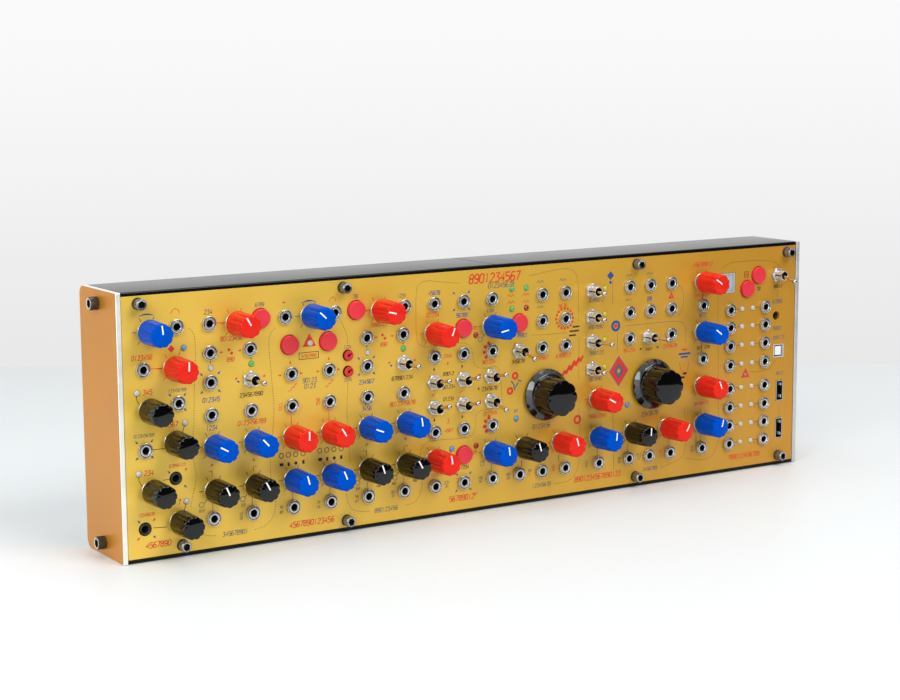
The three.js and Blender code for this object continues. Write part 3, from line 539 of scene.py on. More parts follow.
def finish(name, light, dark, rough, patch, grain, bump, metal=0.0, **constants):
    """Light and dark are linear tones, rough the least and most roughness, patch and grain the noises' scales
    per metre, bump the grain's height in metres, and constants go straight on the shader."""
    material = bpy.data.materials.new(name)
    material.use_nodes = True
    tree = material.node_tree
    shader = tree.nodes["Principled BSDF"]
    where = tree.nodes.new("ShaderNodeTexCoord").outputs["Object"]
    broad = noise(tree, where, patch, BROAD_DETAIL)
    fine = noise(tree, where, grain, FINE_DETAIL)
    both = tree.nodes.new("ShaderNodeMath")
    both.operation = "ADD"
    tree.links.new(spread(tree, broad, 0.0, 0.5), both.inputs[0])
    tree.links.new(spread(tree, fine, 0.0, 0.5), both.inputs[1])
    tones = mixed_tones(tree, "MIX", both.outputs[0], (*dark, 1), (*light, 1))
    tree.links.new(tones, shader.inputs["Base Color"])
    tree.links.new(spread(tree, broad, *rough), shader.inputs["Roughness"])
    relief = tree.nodes.new("ShaderNodeBump")
    relief.inputs["Strength"].default_value = 1.0
    relief.inputs["Distance"].default_value = bump
    tree.links.new(fine, relief.inputs["Height"])
    tree.links.new(relief.outputs["Normal"], shader.inputs["Normal"])
    shader.inputs["Metallic"].default_value = metal
    for socket, value in constants.items():
        shader.inputs[socket.replace("_", " ")].default_value = value
    return material


def painted_light_drift(material, left, middle, right):
    """Multiplies a finish's tones by a colour that drifts from left to right over the piece: painted light,
    lighter at the left where more light falls and darker towards the right.
    """
    tree = material.node_tree
    shader = tree.nodes["Principled BSDF"]
    tones = shader.inputs["Base Color"].links[0].from_socket
    parts = tree.nodes.new("ShaderNodeSeparateXYZ")
    tree.links.new(tree.nodes.new("ShaderNodeTexCoord").outputs["Generated"], parts.inputs[0])
    drift = tree.nodes.new("ShaderNodeValToRGB")
    drift.color_ramp.elements[0].color = (*left, 1)
    drift.color_ramp.elements[1].color = (*right, 1)
    drift.color_ramp.elements.new(0.5).color = (*middle, 1)
    tree.links.new(parts.outputs["X"], drift.inputs["Fac"])
    product = mixed_tones(tree, "MULTIPLY", 1.0, tones, drift.outputs["Color"])
    tree.links.new(product, shader.inputs["Base Color"])


# What finishes of one kind share.
EDGE = {"rough": (0.3, 0.44), "patch": 200, "grain": 2400, "bump": 1e-6, "metal": 0.4}
MACHINED = {"patch": 300, "grain": 3000}
TURNED = {"patch": 260, "grain": 3000, "bump": 1.5e-6}
BRIGHT = {"patch": 240, "grain": 3000}
MOULDED = {"patch": 70, "grain": 420}
LENS = {"patch": 900, "grain": 2600}
PRINTED = {"rough": (0.45, 0.6), "patch": 60, "grain": 1500, "bump": 2e-6}

BLACK_SHELL = finish("black_gloss_coat", (0.006, 0.006, 0.007), (0.003, 0.003, 0.004), (0.13, 0.19),
                     patch=25, grain=2200, bump=4e-7, Specular_IOR_Level=0.25)
ORANGE_ANODISED = finish("orange_anodised", (0.68, 0.275, 0.024), (0.58, 0.23, 0.017), (0.3, 0.42),
                         patch=30, grain=2600, bump=1e-6, metal=0.45)
BARE_EDGE = finish("bare_edge", (0.95, 0.955, 0.92), (0.86, 0.865, 0.83), **EDGE)
# The right cheek's bare edge: the same finish as the left one's, painted darker as shade.
SHADED_EDGE = finish("shaded_edge", (0.6, 0.61, 0.61), (0.5, 0.51, 0.51), **EDGE)
PANEL_GOLD = finish("panel_gold", (1, 1, 1), (0.93, 0.92, 0.88), (0.3, 0.4), patch=16, grain=2600,
                    bump=5e-7, metal=0.2)
# Painted light on the panel: its gold is lighter yellow at the left end and deeper ochre at the right, as the
# light falls off.
painted_light_drift(PANEL_GOLD, (0.87, 0.575, 0.082), (0.7, 0.42, 0.046), (0.56, 0.265, 0.022))
PLATED = finish("plated_metal", (0.76, 0.76, 0.74), (0.6, 0.6, 0.58), (0.2, 0.32), metal=0.85,
                bump=1.5e-6, **MACHINED)
SCREW_STEEL = finish("screw_steel", (0.36, 0.355, 0.34), (0.1, 0.1, 0.095), (0.22, 0.34), metal=0.6,
                     bump=2e-6, **MACHINED)
SCREW_RIM = finish("screw_rim", (0.6, 0.59, 0.57), (0.36, 0.355, 0.34), (0.14, 0.22), metal=0.85,
                   bump=1e-6, **MACHINED)
DARK_STEEL = finish("dark_steel", (0.09, 0.085, 0.08), (0.04, 0.04, 0.038), (0.22, 0.34), metal=0.6,
                    bump=2e-6, **MACHINED)
TOGGLE_METAL = finish("toggle_metal", (0.74, 0.74, 0.73), (0.5, 0.5, 0.49), (0.2, 0.3), metal=0.62, **TURNED)
NUT_METAL = finish("nut_metal", (0.7, 0.7, 0.68), (0.46, 0.46, 0.44), (0.2, 0.3), metal=0.8, **TURNED)
POLISHED = finish("polished_metal", (0.58, 0.57, 0.54), (0.34, 0.33, 0.31), (0.12, 0.2), metal=0.95,
                  bump=8e-7, **BRIGHT)
# The lever's rod: chrome with the gold panel's reflection painted in as a brass tone.
LEVER_ROD = finish("lever_rod", (0.78, 0.62, 0.42), (0.66, 0.5, 0.32), (0.16, 0.26), metal=1.0,
                   bump=1e-6, **BRIGHT)
# Near-black: painted shade inside the bores, sockets, slots and gaps, and the real black plastic of the
# inlet, the slot ports' tongues and the bodies on the board.
PAINTED_SHADE_AND_BLACK_PLASTIC = finish("painted_shade_and_black_plastic", (0.01, 0.01, 0.01), (0.004, 0.004, 0.004), (0.35, 0.55), patch=300,
                    grain=2500, bump=3e-6, Specular_IOR_Level=0.2)
# Black plastic of the sockets, and the painted contact shade of the rings under the panel screws.
BLACK_RUBBER_AND_SHADE = finish("black_rubber_and_shade", (0.02, 0.02, 0.02), (0.01, 0.01, 0.01), (0.5, 0.65), patch=300,
                      grain=2500, bump=6e-6)
KNOB_BLUE = finish("knob_blue", (0.0002, 0.08, 0.55), (0.0002, 0.062, 0.45), (0.1, 0.16), bump=2e-6,
                   Specular_Tint=(0.02, 0.35, 1, 1), Specular_IOR_Level=0.08, **MOULDED)
KNOB_RED = finish("knob_red", (0.78, 0.024, 0.014), (0.69, 0.017, 0.01), (0.11, 0.17), bump=2e-6,
                  Specular_Tint=(1, 0.4, 0.3, 1), Specular_IOR_Level=0.25, **MOULDED)
KNOB_BLACK = finish("knob_black", (0.002, 0.002, 0.0025), (0.001, 0.001, 0.001), (0.045, 0.085), bump=4e-7,
                    Specular_IOR_Level=0.42, **MOULDED)
KNOB_SKIRT = finish("knob_skirt", (0.007, 0.008, 0.01), (0.004, 0.005, 0.006), (0.05, 0.1), patch=90,
                    grain=420, bump=4e-7, Specular_IOR_Level=1.0)
POINTER_WHITE = finish("pointer_white", (0.93, 0.93, 0.91), (0.82, 0.82, 0.8), (0.35, 0.5), patch=300,
                       grain=2000, bump=3e-6)
BUTTON_RED = finish("button_red", (0.76, 0.028, 0.048), (0.66, 0.02, 0.034), (0.38, 0.5), patch=60,
                    grain=1400, bump=3e-6)
TRIMMER_RED = finish("trimmer_red", (0.72, 0.02, 0.025), (0.55, 0.012, 0.018), (0.3, 0.42), patch=90,
                     grain=1400, bump=3e-6)
WINDOW_FRAME = finish("window_frame", (0.5, 0.56, 0.56), (0.4, 0.45, 0.45), (0.25, 0.36), patch=120,
                      grain=1800, bump=2e-6, metal=0.2)
WINDOW_PANE = finish("window_pane", (0.42, 0.52, 0.56), (0.3, 0.4, 0.45), (0.06, 0.14), patch=120, grain=900,
                     bump=1e-6, Coat_Weight=0.8)
PORT_METAL = finish("port_metal", (0.74, 0.75, 0.75), (0.6, 0.61, 0.61), (0.28, 0.4), patch=200,
                    grain=2600, bump=2e-6, metal=0.35)
PORT_WHITE = finish("port_white", (0.86, 0.86, 0.84), (0.76, 0.76, 0.73), (0.35, 0.5), patch=200, grain=1800,
                    bump=3e-6)
BOARD_GREEN = finish("board_green", (0.02, 0.07, 0.035), (0.01, 0.04, 0.02), (0.35, 0.5), patch=60,
                     grain=900, bump=4e-6)

# Lights and inks: the light and the dark tone of each colour.
LENS_TONES = {
    "green": ((0.1, 0.5, 0.15), (0.04, 0.33, 0.08)),
    "red": ((0.4, 0.008, 0.01), (0.2, 0.003, 0.004)),
    "blue": ((0.14, 0.34, 0.6), (0.07, 0.22, 0.45)),
    "yellow": ((0.62, 0.54, 0.02), (0.42, 0.36, 0.01)),
}
INK_TONES = {
    "red": ((0.7, 0.035, 0.01), (0.6, 0.025, 0.008)),
    "blue": ((0.006, 0.07, 0.3), (0.004, 0.05, 0.22)),
    "grey": ((0.16, 0.14, 0.13), (0.11, 0.1, 0.09)),
    "black": ((0.02, 0.017, 0.014), (0.012, 0.01, 0.008)),
}
LIGHT_FINISHES = {
    colour: finish("light_" + colour, *tones, (0.1, 0.2), bump=2e-6, Coat_Weight=0.6, **LENS)
    for colour, tones in LENS_TONES.items()
}
LIGHT_FINISHES["white"] = finish("light_white", (0.6, 0.57, 0.52), (0.48, 0.46, 0.42), (0.2, 0.34),
                                 bump=4e-6, Coat_Weight=0.5, **LENS)
PRINTS = {colour: finish("print_" + colour, *tones, **PRINTED) for colour, tones in INK_TONES.items()}


# The case: one bent sheet, with a joint line across its top and a seam along its lips.
def shell_section(drop=0.0):
    seam_wide, seam_deep, edge = 0.12, 0.22, 0.8
    front = PANEL_SETBACK - CASE_DEPTH / 2
    centre = CASE_DEPTH / 2 - BACK_RADIUS
    top = CASE_HEIGHT
    inner = BACK_RADIUS - SHEET

    def seam(middle):
        return [(front, middle + seam_wide), (front + seam_deep, middle), (front, middle - seam_wide)]

    outer = arc(edge, 180, 270, 6, front + edge, edge)
    outer += arc(BACK_RADIUS, 270, 360, 10, centre, BACK_RADIUS)
    outer += arc(BACK_RADIUS, 0, 90, 10, centre, top - BACK_RADIUS)
    outer += arc(edge, 90, 180, 6, front + edge, top - edge)
    section = [(x, min(y, top - HAIR - drop)) for x, y in outer]
    section += seam(top - edge - seam_wide)
    section += [(front, top - SHEET)]
    section += arc(inner, 90, 0, 8, centre, top - BACK_RADIUS)
    section += arc(inner, 0, -90, 8, centre, BACK_RADIUS)
    section += [(front, SHEET)]
    return section + seam(edge + seam_wide)


def make_shell():
    half, joint, drop, step = PANEL_WIDTH / 2, 0.3, 0.4, 0.05
    plain, lowered = [shell_section()], [shell_section(drop)]
    levels = [(plain, half), (plain, joint), (lowered, joint - step), (lowered, step - joint)]
    levels += [(plain, -joint), (plain, -half)]
    cover = Shape()
    stacked(cover, UNMOVED, levels)
    centre = Vector((0, (left_low.y + left_high.y) / 2, left_low.z))
    along = Matrix.Translation(centre) @ OUT_OF_RIGHT @ METRES
    piece("shell_cover", cover, [BLACK_SHELL], ["case_shell"], frame_place=along)
    rails = Shape()
    middle = PANEL_SETBACK + PANEL_THICKNESS + FIT_GAP - CASE_DEPTH / 2 + RAIL_DEPTH / 2
    corner, chamfer = 0.5, 0.4
    for height in (SHEET + RAIL_HEIGHT / 2, CASE_HEIGHT - SHEET - RAIL_HEIGHT / 2):
        outline = rectangle(RAIL_DEPTH, RAIL_HEIGHT, corner, middle, height)
        slab(rails, UNMOVED, [outline], half, -half, chamfer)
    piece("shell_rails", rails, [BARE_EDGE], ["case_shell"], frame_place=along)


def make_cheeks():
    half = CASE_DEPTH / 2
    edge, steps, chamfer = 0.4, 12, 0.22
    centre = half - BACK_RADIUS
    outline = arc(BACK_RADIUS, 270, 360, steps, centre, BACK_RADIUS)
    outline += arc(BACK_RADIUS, 0, 90, steps, centre, CASE_HEIGHT - HAIR - BACK_RADIUS)
    outline += arc(edge, 90, 180, 3, edge - half, CASE_HEIGHT - HAIR - edge)
    outline += arc(edge, 180, 270, 3, edge - half, edge)
    middle = (left_low.y + left_high.y) / 2
    # The right cheek's edges take the bare finish painted darker, as shade.
    ends = [
        ("left_cheek", OUT_OF_LEFT, Vector((left_low.x, middle, left_low.z)), -1, BARE_EDGE),
        ("right_cheek", OUT_OF_RIGHT, Vector((right_high.x, middle, right_low.z)), 1, SHADED_EDGE),
    ]
    for name, outward, place, way, edges in ends:
        plate = Shape()
        drawn = [(way * x, y) for x, y in outline]
        slab(plate, UNMOVED, [drawn], 0, -CHEEK_THICKNESS, chamfer, (0, 1, 1))
        frame_place = Matrix.Translation(place) @ outward @ METRES
        piece(name + "_plate", plate, [ORANGE_ANODISED, edges], [name],
              frame_place=frame_place)


def screw(shape, place, radius, top, base):
    """A socket-head screw: knurled head and shank in the first finish, bevelled rim in the second, and
    six-sided socket in the third."""
    bevel, shank, knurl, sides = 0.35, 1.5, 0.26, 96
    floor = top - SCREW_SOCKET_DEPTH
    end = -PANEL_THICKNESS - SCREW_TOP
    shoulder = radius - bevel
    socket = radius * 0.6
    bore, flare, wall, mouth = (socket * share for share in (1.2, 1.22, 1.24, 1.32))
    inside = six_sided(socket)
    grip = knurled(24, knurl)
    head = [
        (shoulder, top, (0, -0.02)), (radius, top - bevel, (-0.05, 0), (0, -0.1, grip)),
        (radius, base, (0, bevel, grip), (-0.2, 0.05)), (shank, base), (shank, end), (0, end),
        (0, floor, (0, -1)), (shoulder, floor, (0, -1)),
    ]
    rim = [
        (bore, top, (0, -0.3, inside)), (flare, top, (0, -0.12, inside)), (mouth, top),
        (shoulder, top, (-0.05, 0), (0.02, -0.08), (-0.05, -1)), (bore, top, (0, -1)),
    ]
    # Painted shade: the socket's walls and floor lined in near-black.
    liner = [
        (0, floor, (0, -0.4)), (bore, floor, (0, 0, inside)), (bore, top, (0, -0.32, inside)),
        (wall, top, (0, -0.32)), (wall, floor, (0, -0.9)), (0, floor, (0, -0.9)),
    ]
    for number, section in enumerate((head, rim, liner)):
        turned(shape, place, section, sides, number)


def make_screws():
    hole, radius, top, foot, edge, turn = 1.6, 3.0, 0.5, 0.02, 0.15, 17
    # Painted shade: thin black rings under the panel screws stand for the dark contact shade round each head.
    washer = [(hole, top), (radius, top, (-edge, 0), (0, -edge)), (radius, foot), (hole, foot)]
    heads, washers = Shape(), Shape()
    for index, point in enumerate(PANEL_SCREWS):
        screw(heads, at(point, turn * index), SCREW_RADIUS, SCREW_TOP, top + SEAT_GAP)
        turned(washers, at(point), washer, 40)
    piece("panel_screw_heads", heads, [SCREW_STEEL, SCREW_RIM, PAINTED_SHADE_AND_BLACK_PLASTIC], ["case_shell"])
    piece("panel_screw_shade_rings", washers, [BLACK_RUBBER_AND_SHADE], ["case_shell"])
    heads = Shape()
    for outward, x in ((OUT_OF_LEFT, left_low.x), (OUT_OF_RIGHT, right_high.x)):
        for height in (CHEEK_SCREW_INSET, CASE_HEIGHT - CHEEK_SCREW_INSET):
            place = Vector((x, left_low.y + CHEEK_SCREW_DEPTH * MM, left_low.z + height * MM))
            place = Matrix.Translation(place / MM) @ outward
            screw(heads, place, CHEEK_SCREW_RADIUS, CHEEK_SCREW_TOP, SEAT_GAP)
    piece("cheek_screw_heads", heads, [DARK_STEEL, PLATED, PAINTED_SHADE_AND_BLACK_PLASTIC], ["case_shell"],
          frame_place=METRES)


def make_inlet():
    place = spot(*INLET_SHARES)
    centre = Vector((panel_low.x / MM + place.x, left_high.y / MM, panel_low.z / MM + place.y))
    outward = Matrix.Translation(centre) @ OUT_OF_BACK
    radius, top, bore, floor, edge = INLET_RADIUS, INLET_PROUD, 3.0, -7.5, 0.3
    pin, pin_top, flat = 1.0, 0.5, 0.9
    hexagon = six_sided(radius + flat)
    barrel_section = [
        (0, floor), (bore, floor), (bore, top, (0, -edge), (edge, 0)), (radius, top, (-edge, 0), (0, -edge)),
        (radius, floor, (0, -2)), (0, floor, (0, -2)),
    ]
    pin_section = [
        (0, pin_top), (pin, pin_top, (-edge, 0), (0, -edge)), (pin, floor, (0, 0.1)), (0, floor, (0, 0.1)),
    ]
    nut_section = [
        (radius, 0, (0.02, 0.95), (0.7, 0.95, hexagon), (1.7, 0.6, hexagon), (1.7, 0.02, hexagon),
         (0.02, 0.02)),
    ]
    barrel = Shape()
    turned(barrel, outward, barrel_section, 48)
    turned(barrel, outward, pin_section, 24, 1)
    turned(barrel, outward, nut_section, 48, 1)
    piece("power_inlet_barrel", barrel, [PAINTED_SHADE_AND_BLACK_PLASTIC, PLATED], ["case_shell"],
          frame_place=METRES)


# The panel, with a chamfered hole for everything that comes through it.
def make_panel():
    corner, chamfer, screw_hole, light_gap = 0.4, 0.12, 1.8, 0.1
    slot_corner, square_corner, window_corner = 0.5, 0.6, 0.4
    loops = [rectangle(PANEL_WIDTH, PANEL_HEIGHT, corner, PANEL_WIDTH / 2, PANEL_HEIGHT / 2)]

    def drill(points, radius, sides=24):
        for point in points:
            loops.append(circle(radius, sides, point[0], point[1]))

    def cut(points, width, height, corner):
        for point in points:
            loops.append(rectangle(width + FIT_GAP, height + FIT_GAP, corner, point.x, point.y))

    drill(JACKS, JACK_BUSH_RADIUS + FIT_GAP)
    drill(PLAIN_SOCKETS, PLAIN_SOCKET_RADIUS + FIT_GAP / 2, 36)
    drill([BARE_HOLE], BARE_HOLE_RADIUS, 36)
    drill([*KNOBS.values(), *TUNING_KNOBS.values()], POT_BUSH_RADIUS + FIT_GAP)
    drill(TOGGLES.values(), TOGGLE_BUSH_RADIUS + FIT_GAP)
    drill([*BUTTONS.values(), *FIXED_BUTTONS], BUTTON_RADIUS + FIT_GAP, 48)
    drill(TRIMMERS, TRIMMER_RADIUS + FIT_GAP, 36)
    drill(PANEL_SCREWS, screw_hole, 16)
    for places in LIGHTS.values():
        drill(places, LIGHT_RADIUS + light_gap)
    cut(SLOT_PORTS, SLOT_PORT_WIDTH, SLOT_PORT_HEIGHT, slot_corner)
    cut([SQUARE_PORT], SQUARE_PORT_SIZE, SQUARE_PORT_SIZE, square_corner)
    cut([WINDOW], WINDOW_SIZE, WINDOW_SIZE, window_corner)
    plate = Shape()
    slab(plate, UNMOVED, loops, 0, -PANEL_THICKNESS, chamfer)
    piece("panel_plate", plate, [PANEL_GOLD], ["front_panel"])


# Printing on the panel: thin layers of ink in four colours. Places and sizes are in millimetres, from the
# panel's lower left corner. Lettering is plain figures, and pictures are plain bars, rings and diamonds.
INK_TOP = 0.04
INK_BACK = -0.03
LINE_WIDTH = 0.3
THIN_LINE = 0.22
WAVE_LINE = 0.32
MITRE_LIMIT = 0.5
DOT_RADIUS = 0.25
DOT_SPACING = 1.3
SMOOTHING_ROUNDS = 2
FIGURE_SPACING = 0.72
FIGURE_WEIGHT = 0.16
FIGURE_LEAN = 0.16
FIGURE_NARROWING = 0.8
SCALE_ANGLES = (-140, -90, -30, 30, 90, 140)
SCALE_RADII = (5.7, 7.9)
CONTROL_RULES = ((380.8, 384.6), (396.2, 399.4))

# Figures on a grid four wide and six high.
FIGURES = [
    [[(1, 0), (3, 0), (4, 1), (4, 5), (3, 6), (1, 6), (0, 5), (0, 1), (1, 0)]],
    [[(1, 5), (2, 6), (2, 0)]],
    [[(0, 5), (1, 6), (3, 6), (4, 5), (4, 4), (0, 0), (4, 0)]],
    [[(0, 6), (4, 6), (2, 3.6), (4, 2.4), (4, 1), (3, 0), (0, 0)]],
    [[(3, 0), (3, 6), (0, 2), (4, 2)]],
    [[(4, 6), (0, 6), (0, 3.4), (3, 3.4), (4, 2.4), (4, 1), (3, 0), (0, 0)]],
    [[(4, 6), (1, 6), (0, 4), (0, 1), (1, 0), (3, 0), (4, 1), (4, 2.4), (3, 3.3), (0, 3)]],
    [[(0, 6), (4, 6), (1.5, 0)]],
    [[(1, 3.2), (0, 4), (0, 5), (1, 6), (3, 6), (4, 5), (4, 4), (3, 3.2), (1, 3.2)],
     [(1, 3.2), (0, 2), (0, 1), (1, 0), (3, 0), (4, 1), (4, 2), (3, 3.2)]],
    [[(0, 0), (3, 0), (4, 2), (4, 5), (3, 6), (1, 6), (0, 5), (0, 3.6), (1, 2.7), (4, 3)]],
]

# Rows of figures: how many, how tall, and the middle of the row. Each row starts one figure further on than
# the row before it.
LABELS = {
    "grey": [
        (10, 1.5, 10, 60.5), (9, 1.5, 28, 81), (3, 2.2, 45.5, 118), (9, 2.2, 57.5, 6), (2, 1.4, 61, 15),
        (2, 1.4, 61, 13), (4, 1.8, 73.5, 119.5), (2, 1.4, 83.5, 15.5), (2, 1.4, 83.5, 13),
        (5, 2.3, 101, 79), (4, 2.3, 101, 76), (4, 1.6, 123, 94), (4, 1.6, 123, 77), (2, 1.4, 105, 15.5),
        (2, 1.4, 105, 13), (2, 1.4, 127.5, 15.5), (2, 1.4, 127.5, 13), (2, 2, 128, 119.5),
        (9, 2.2, 145, 6.5), (3, 1.4, 149.5, 15), (2, 1.4, 149.5, 13), (4, 1.8, 155.5, 118),
        (3, 1.6, 182.5, 16), (2, 1.6, 182.5, 14), (3, 1.4, 204, 16), (2, 1.4, 204, 14),
        (4, 1.6, 210.5, 106), (3, 1.4, 222, 15.5), (2, 1.4, 222, 13.5), (3, 1.4, 236.5, 16),
        (7, 2.4, 244, 40), (8, 2.2, 244, 7), (2, 1.5, 274.5, 16), (2, 1.5, 274.5, 14), (7, 2, 280.5, 91.5),
        (6, 2, 280.5, 62.5), (7, 2, 281, 106.5), (7, 2, 281, 77), (2, 1.5, 297.5, 15.5),
        (2, 1.5, 297.5, 13.5), (3, 1.5, 311.5, 16), (2, 1.5, 311.5, 14), (7, 2.4, 319, 39),
        (7, 2.1, 319.5, 7), (2, 1.5, 350, 16), (2, 1.5, 350, 14), (5, 2.2, 413.5, 96), (5, 2.2, 413.5, 80),
        (6, 2, 415, 74.5), (4, 2, 416, 53), (9, 2.6, 217.5, 119.3),
    ],
    "red": [
        (7, 2.2, 10, 98.5), (8, 1.5, 10, 21.5), (3, 2.4, 12, 42), (3, 2.4, 12.5, 81.5), (7, 2.7, 16, 6),
        (3, 2.4, 25.5, 64.5), (8, 1.5, 27, 44), (1, 2.4, 27.5, 25.5), (3, 2, 57, 93.5), (9, 2.2, 58.5, 104),
        (10, 2.2, 68, 61), (2, 1.5, 84, 68), (2, 1.5, 84, 66), (8, 1.6, 100.5, 91.5), (13, 2.8, 101, 5.5),
        (2, 1.5, 105.5, 68.5), (2, 1.5, 105.5, 66.5), (7, 2, 141.5, 104), (3, 2, 144.5, 93.5),
        (10, 2.2, 155.5, 61.5), (5, 2.2, 174.5, 106.5), (5, 1.8, 176, 21), (4, 1.8, 183.5, 84),
        (1, 2.2, 183.5, 49), (4, 1.8, 184, 44), (8, 2.8, 192, 6.5), (2, 1.4, 201, 7.5),
        (2, 1.8, 200.5, 97.5), (2, 1.8, 200.5, 30.5), (6, 2, 209.5, 78.5), (6, 2, 210.5, 50.5),
        (2, 1.4, 235.5, 14), (6, 2, 244, 77.5), (2, 1.5, 252, 16.5), (2, 1.5, 252, 14.5), (4, 2, 258, 105),
        (7, 2, 258.5, 77.5), (9, 2, 282, 41.5), (16, 2.8, 282.5, 7), (6, 2, 304, 76.5), (2, 1.5, 327, 16),
        (2, 1.5, 327, 13.5), (7, 2, 333, 76.5), (4, 1.8, 352.5, 104), (9, 2.2, 356.5, 121.5),
        (8, 1.8, 356.5, 41), (4, 1.8, 359, 104), (13, 2.6, 389.5, 6.5), (10, 4.6, 213.5, 123.6),
    ],
    "blue": [
        (6, 2.2, 46, 74.5), (4, 2.2, 46, 60.5), (6, 2.1, 134, 75), (4, 2.1, 134, 61), (5, 2, 175.5, 118),
        (5, 2, 192.5, 105), (2, 1.6, 227, 50), (5, 2, 231, 91), (2, 2.4, 318, 104.5), (4, 1.8, 356.5, 92),
    ],
    "black": [
        (3, 1.3, 39.5, 19.5), (3, 1.3, 62, 19.5), (9, 2, 68, 75), (3, 1.3, 128, 19.5),
        (3, 1.3, 140.5, 19.5), (3, 1.3, 150, 19.5), (9, 2, 155.5, 75), (3, 1.3, 162.5, 19.5),
        (5, 1.9, 184, 74.5), (6, 1.9, 184, 67.5), (5, 1.9, 184, 61), (4, 1.8, 194, 23), (7, 2, 210, 64),
        (6, 2, 228.5, 77), (4, 1.6, 318, 76), (3, 1.8, 354.5, 73.5), (3, 1.8, 360.5, 73.5),
        (2, 2, 398.5, 104.5), (5, 1.8, 413.5, 105),
    ],
}

# Dotted borders between the sections, smoothed through their corners.
DOTTED_BORDERS = [
    [(34.5, 111), (37.5, 108.5), (38.2, 104), (38, 92.5), (37, 83), (36.5, 63), (35.5, 57.5), (35.5, 45.5),
     (37, 39), (36.5, 33), (35, 29), (33.5, 21.5)],
    [(39.5, 7.5), (42.5, 6.5), (46.5, 6)],
    [(68, 6), (74, 7), (78, 10), (80, 14), (80.5, 22.5), (78.5, 28), (77.5, 34.5), (78, 46), (80, 58.5),
     (80.5, 70), (79.5, 78.5), (79, 89), (78, 97.5), (78.5, 104), (81.5, 107)],
    [(119.5, 107.5), (121.5, 103.5), (123, 99.5), (123, 95.5)],
    [(123, 75.5), (122, 61.5), (122.5, 56.5), (123, 43), (123.5, 34)],
    [(121, 18), (122, 12.5), (125, 8), (135, 6.5)],
    [(156.5, 7), (162.5, 7.5), (166, 11.5), (167.5, 20), (166, 28), (166, 34.5), (168, 38), (172, 40),
     (195, 38.5), (199.5, 40), (201, 45), (201, 50.5), (204, 53), (216.5, 52.5)],
    [(191, 122), (179, 123.5), (171, 125), (166, 123.5), (164, 119.5), (164, 94), (166.5, 90.5),
     (172.5, 89.5), (187, 90.5), (195.5, 90), (199, 86.5), (199.5, 79.5), (201.5, 76), (208, 75),
     (214.5, 76), (217, 71.5), (218, 55)],
    [(236, 123), (252, 125), (260, 125.5), (265.5, 124), (268.5, 118.5), (268.5, 95.5)],
    [(237.5, 90.5), (249.5, 90), (261.5, 90)],
    [(269, 86.5), (269, 63)],
    [(269, 47.5), (270, 35), (270, 19), (267.5, 10), (262, 6.5), (253, 6.5)],
    [(344, 39.5), (345.5, 26.5), (345, 12.5), (340.5, 9.5), (334, 8), (327, 6.5)],
    [(344.5, 10), (356.5, 7.5), (364, 8), (368, 12), (370.5, 20)],
    [(367.5, 114), (369, 53.5), (369.5, 30)],
    [(370, 117.5), (375, 121), (388.5, 121.5), (407, 120.5), (412.5, 118.5), (415, 115.5)],
    [(393, 56), (401, 55), (408.5, 56), (412.5, 61)],
    [(416, 34), (416.5, 26.5)],
]
PLAIN_BORDERS = [
    [(292, 117), (292, 103.5)],
    [(295.5, 87.5), (295.5, 76)],
    [(292.5, 43.5), (293.5, 26.5), (293.5, 9.5)],
    [(301.5, 90.5), (331.5, 90.5), (341.5, 90), (344.5, 86), (344.5, 77)],
    [(338.5, 111), (342.5, 108), (342.5, 97.5), (338.5, 93)],
    [(413.5, 102.5), (413.5, 98)],
]

# Single lines by colour: leaders, links and the step-shaped marks.
LINES = {
    "red": [
        [(14, 92.7), (21, 92.5)], [(50, 112.2), (56, 112)], [(132.5, 112.2), (138, 112)],
        [(90, 62), (90, 57)], [(111.6, 62.5), (111.6, 57)], [(30, 101), (30, 98.5)],
        [(25.5, 118.5), (26.5, 120.3), (28, 121), (29.5, 120.3), (30.2, 118.5)],
        [(112.7, 117.8), (113.5, 119.6), (114.8, 120.3), (116, 119.6), (116.6, 117.8)],
        [(88.5, 74.6), (90, 74.6), (90.8, 76.2), (92, 76.2), (92.6, 77.8), (93.8, 77.8)],
        [(109.5, 74.6), (111, 74.6), (111.8, 76.2), (113, 76.2), (113.6, 77.8), (114.8, 77.8)],
        [(173, 63), (176, 64.8)], [(173.4, 64.9), (175.2, 62.6)], [(191.2, 63.6), (194, 65)],
        [(340, 66), (341.4, 61)], [(347, 66), (346, 61)],
    ],
    "black": [
        [(14.3, 53.2), (20.6, 53)], [(13.5, 14.5), (20.5, 14)], [(22.6, 37.6), (19, 37.4)],
        [(6.5, 80), (6.8, 78), (8.4, 75)], [(6.5, 40.5), (6.7, 38.5), (8.2, 35.6)],
        [(31.2, 62.8), (30.2, 60)], [(31, 23.8), (30, 21)], [(46.1, 92.4), (46.1, 95)],
        [(68.2, 92.4), (68.2, 94)], [(134.3, 92.4), (134.3, 95)], [(156.2, 92.4), (156.2, 94)],
        [(45.5, 36.2), (45.5, 39)], [(68.2, 36.2), (68.2, 38.4)], [(133.5, 36.2), (133.5, 39)],
        [(156.2, 36.2), (156.2, 38.6)], [(353, 22.6), (353, 18.6)], [(356.2, 104.5), (356.2, 101.6)],
        [(356.2, 76), (356.2, 70.6)], [(230.8, 22.4), (230.8, 18.8)], [(255.6, 22.4), (255.6, 18.8)],
        [(95.2, 112), (97.6, 112)],
    ],
    "grey": [
        [(45.4, 22.6), (45.4, 18.8)], [(67.2, 22.6), (67.2, 18.8)], [(90, 22.6), (90, 18.8)],
        [(111.6, 22.6), (111.6, 18.8)], [(133.8, 22.6), (133.8, 18.8)], [(155.5, 22.6), (155.5, 18.8)],
        [(211, 22.6), (211, 18.8)], [(282, 22.8), (282, 18.8)], [(303.4, 22.8), (303.4, 18.8)],
        [(333, 22.8), (333, 18.8)], [(356.3, 22.8), (356.3, 18.8)], [(356.3, 38.6), (356.3, 36.2)],
    ],
}

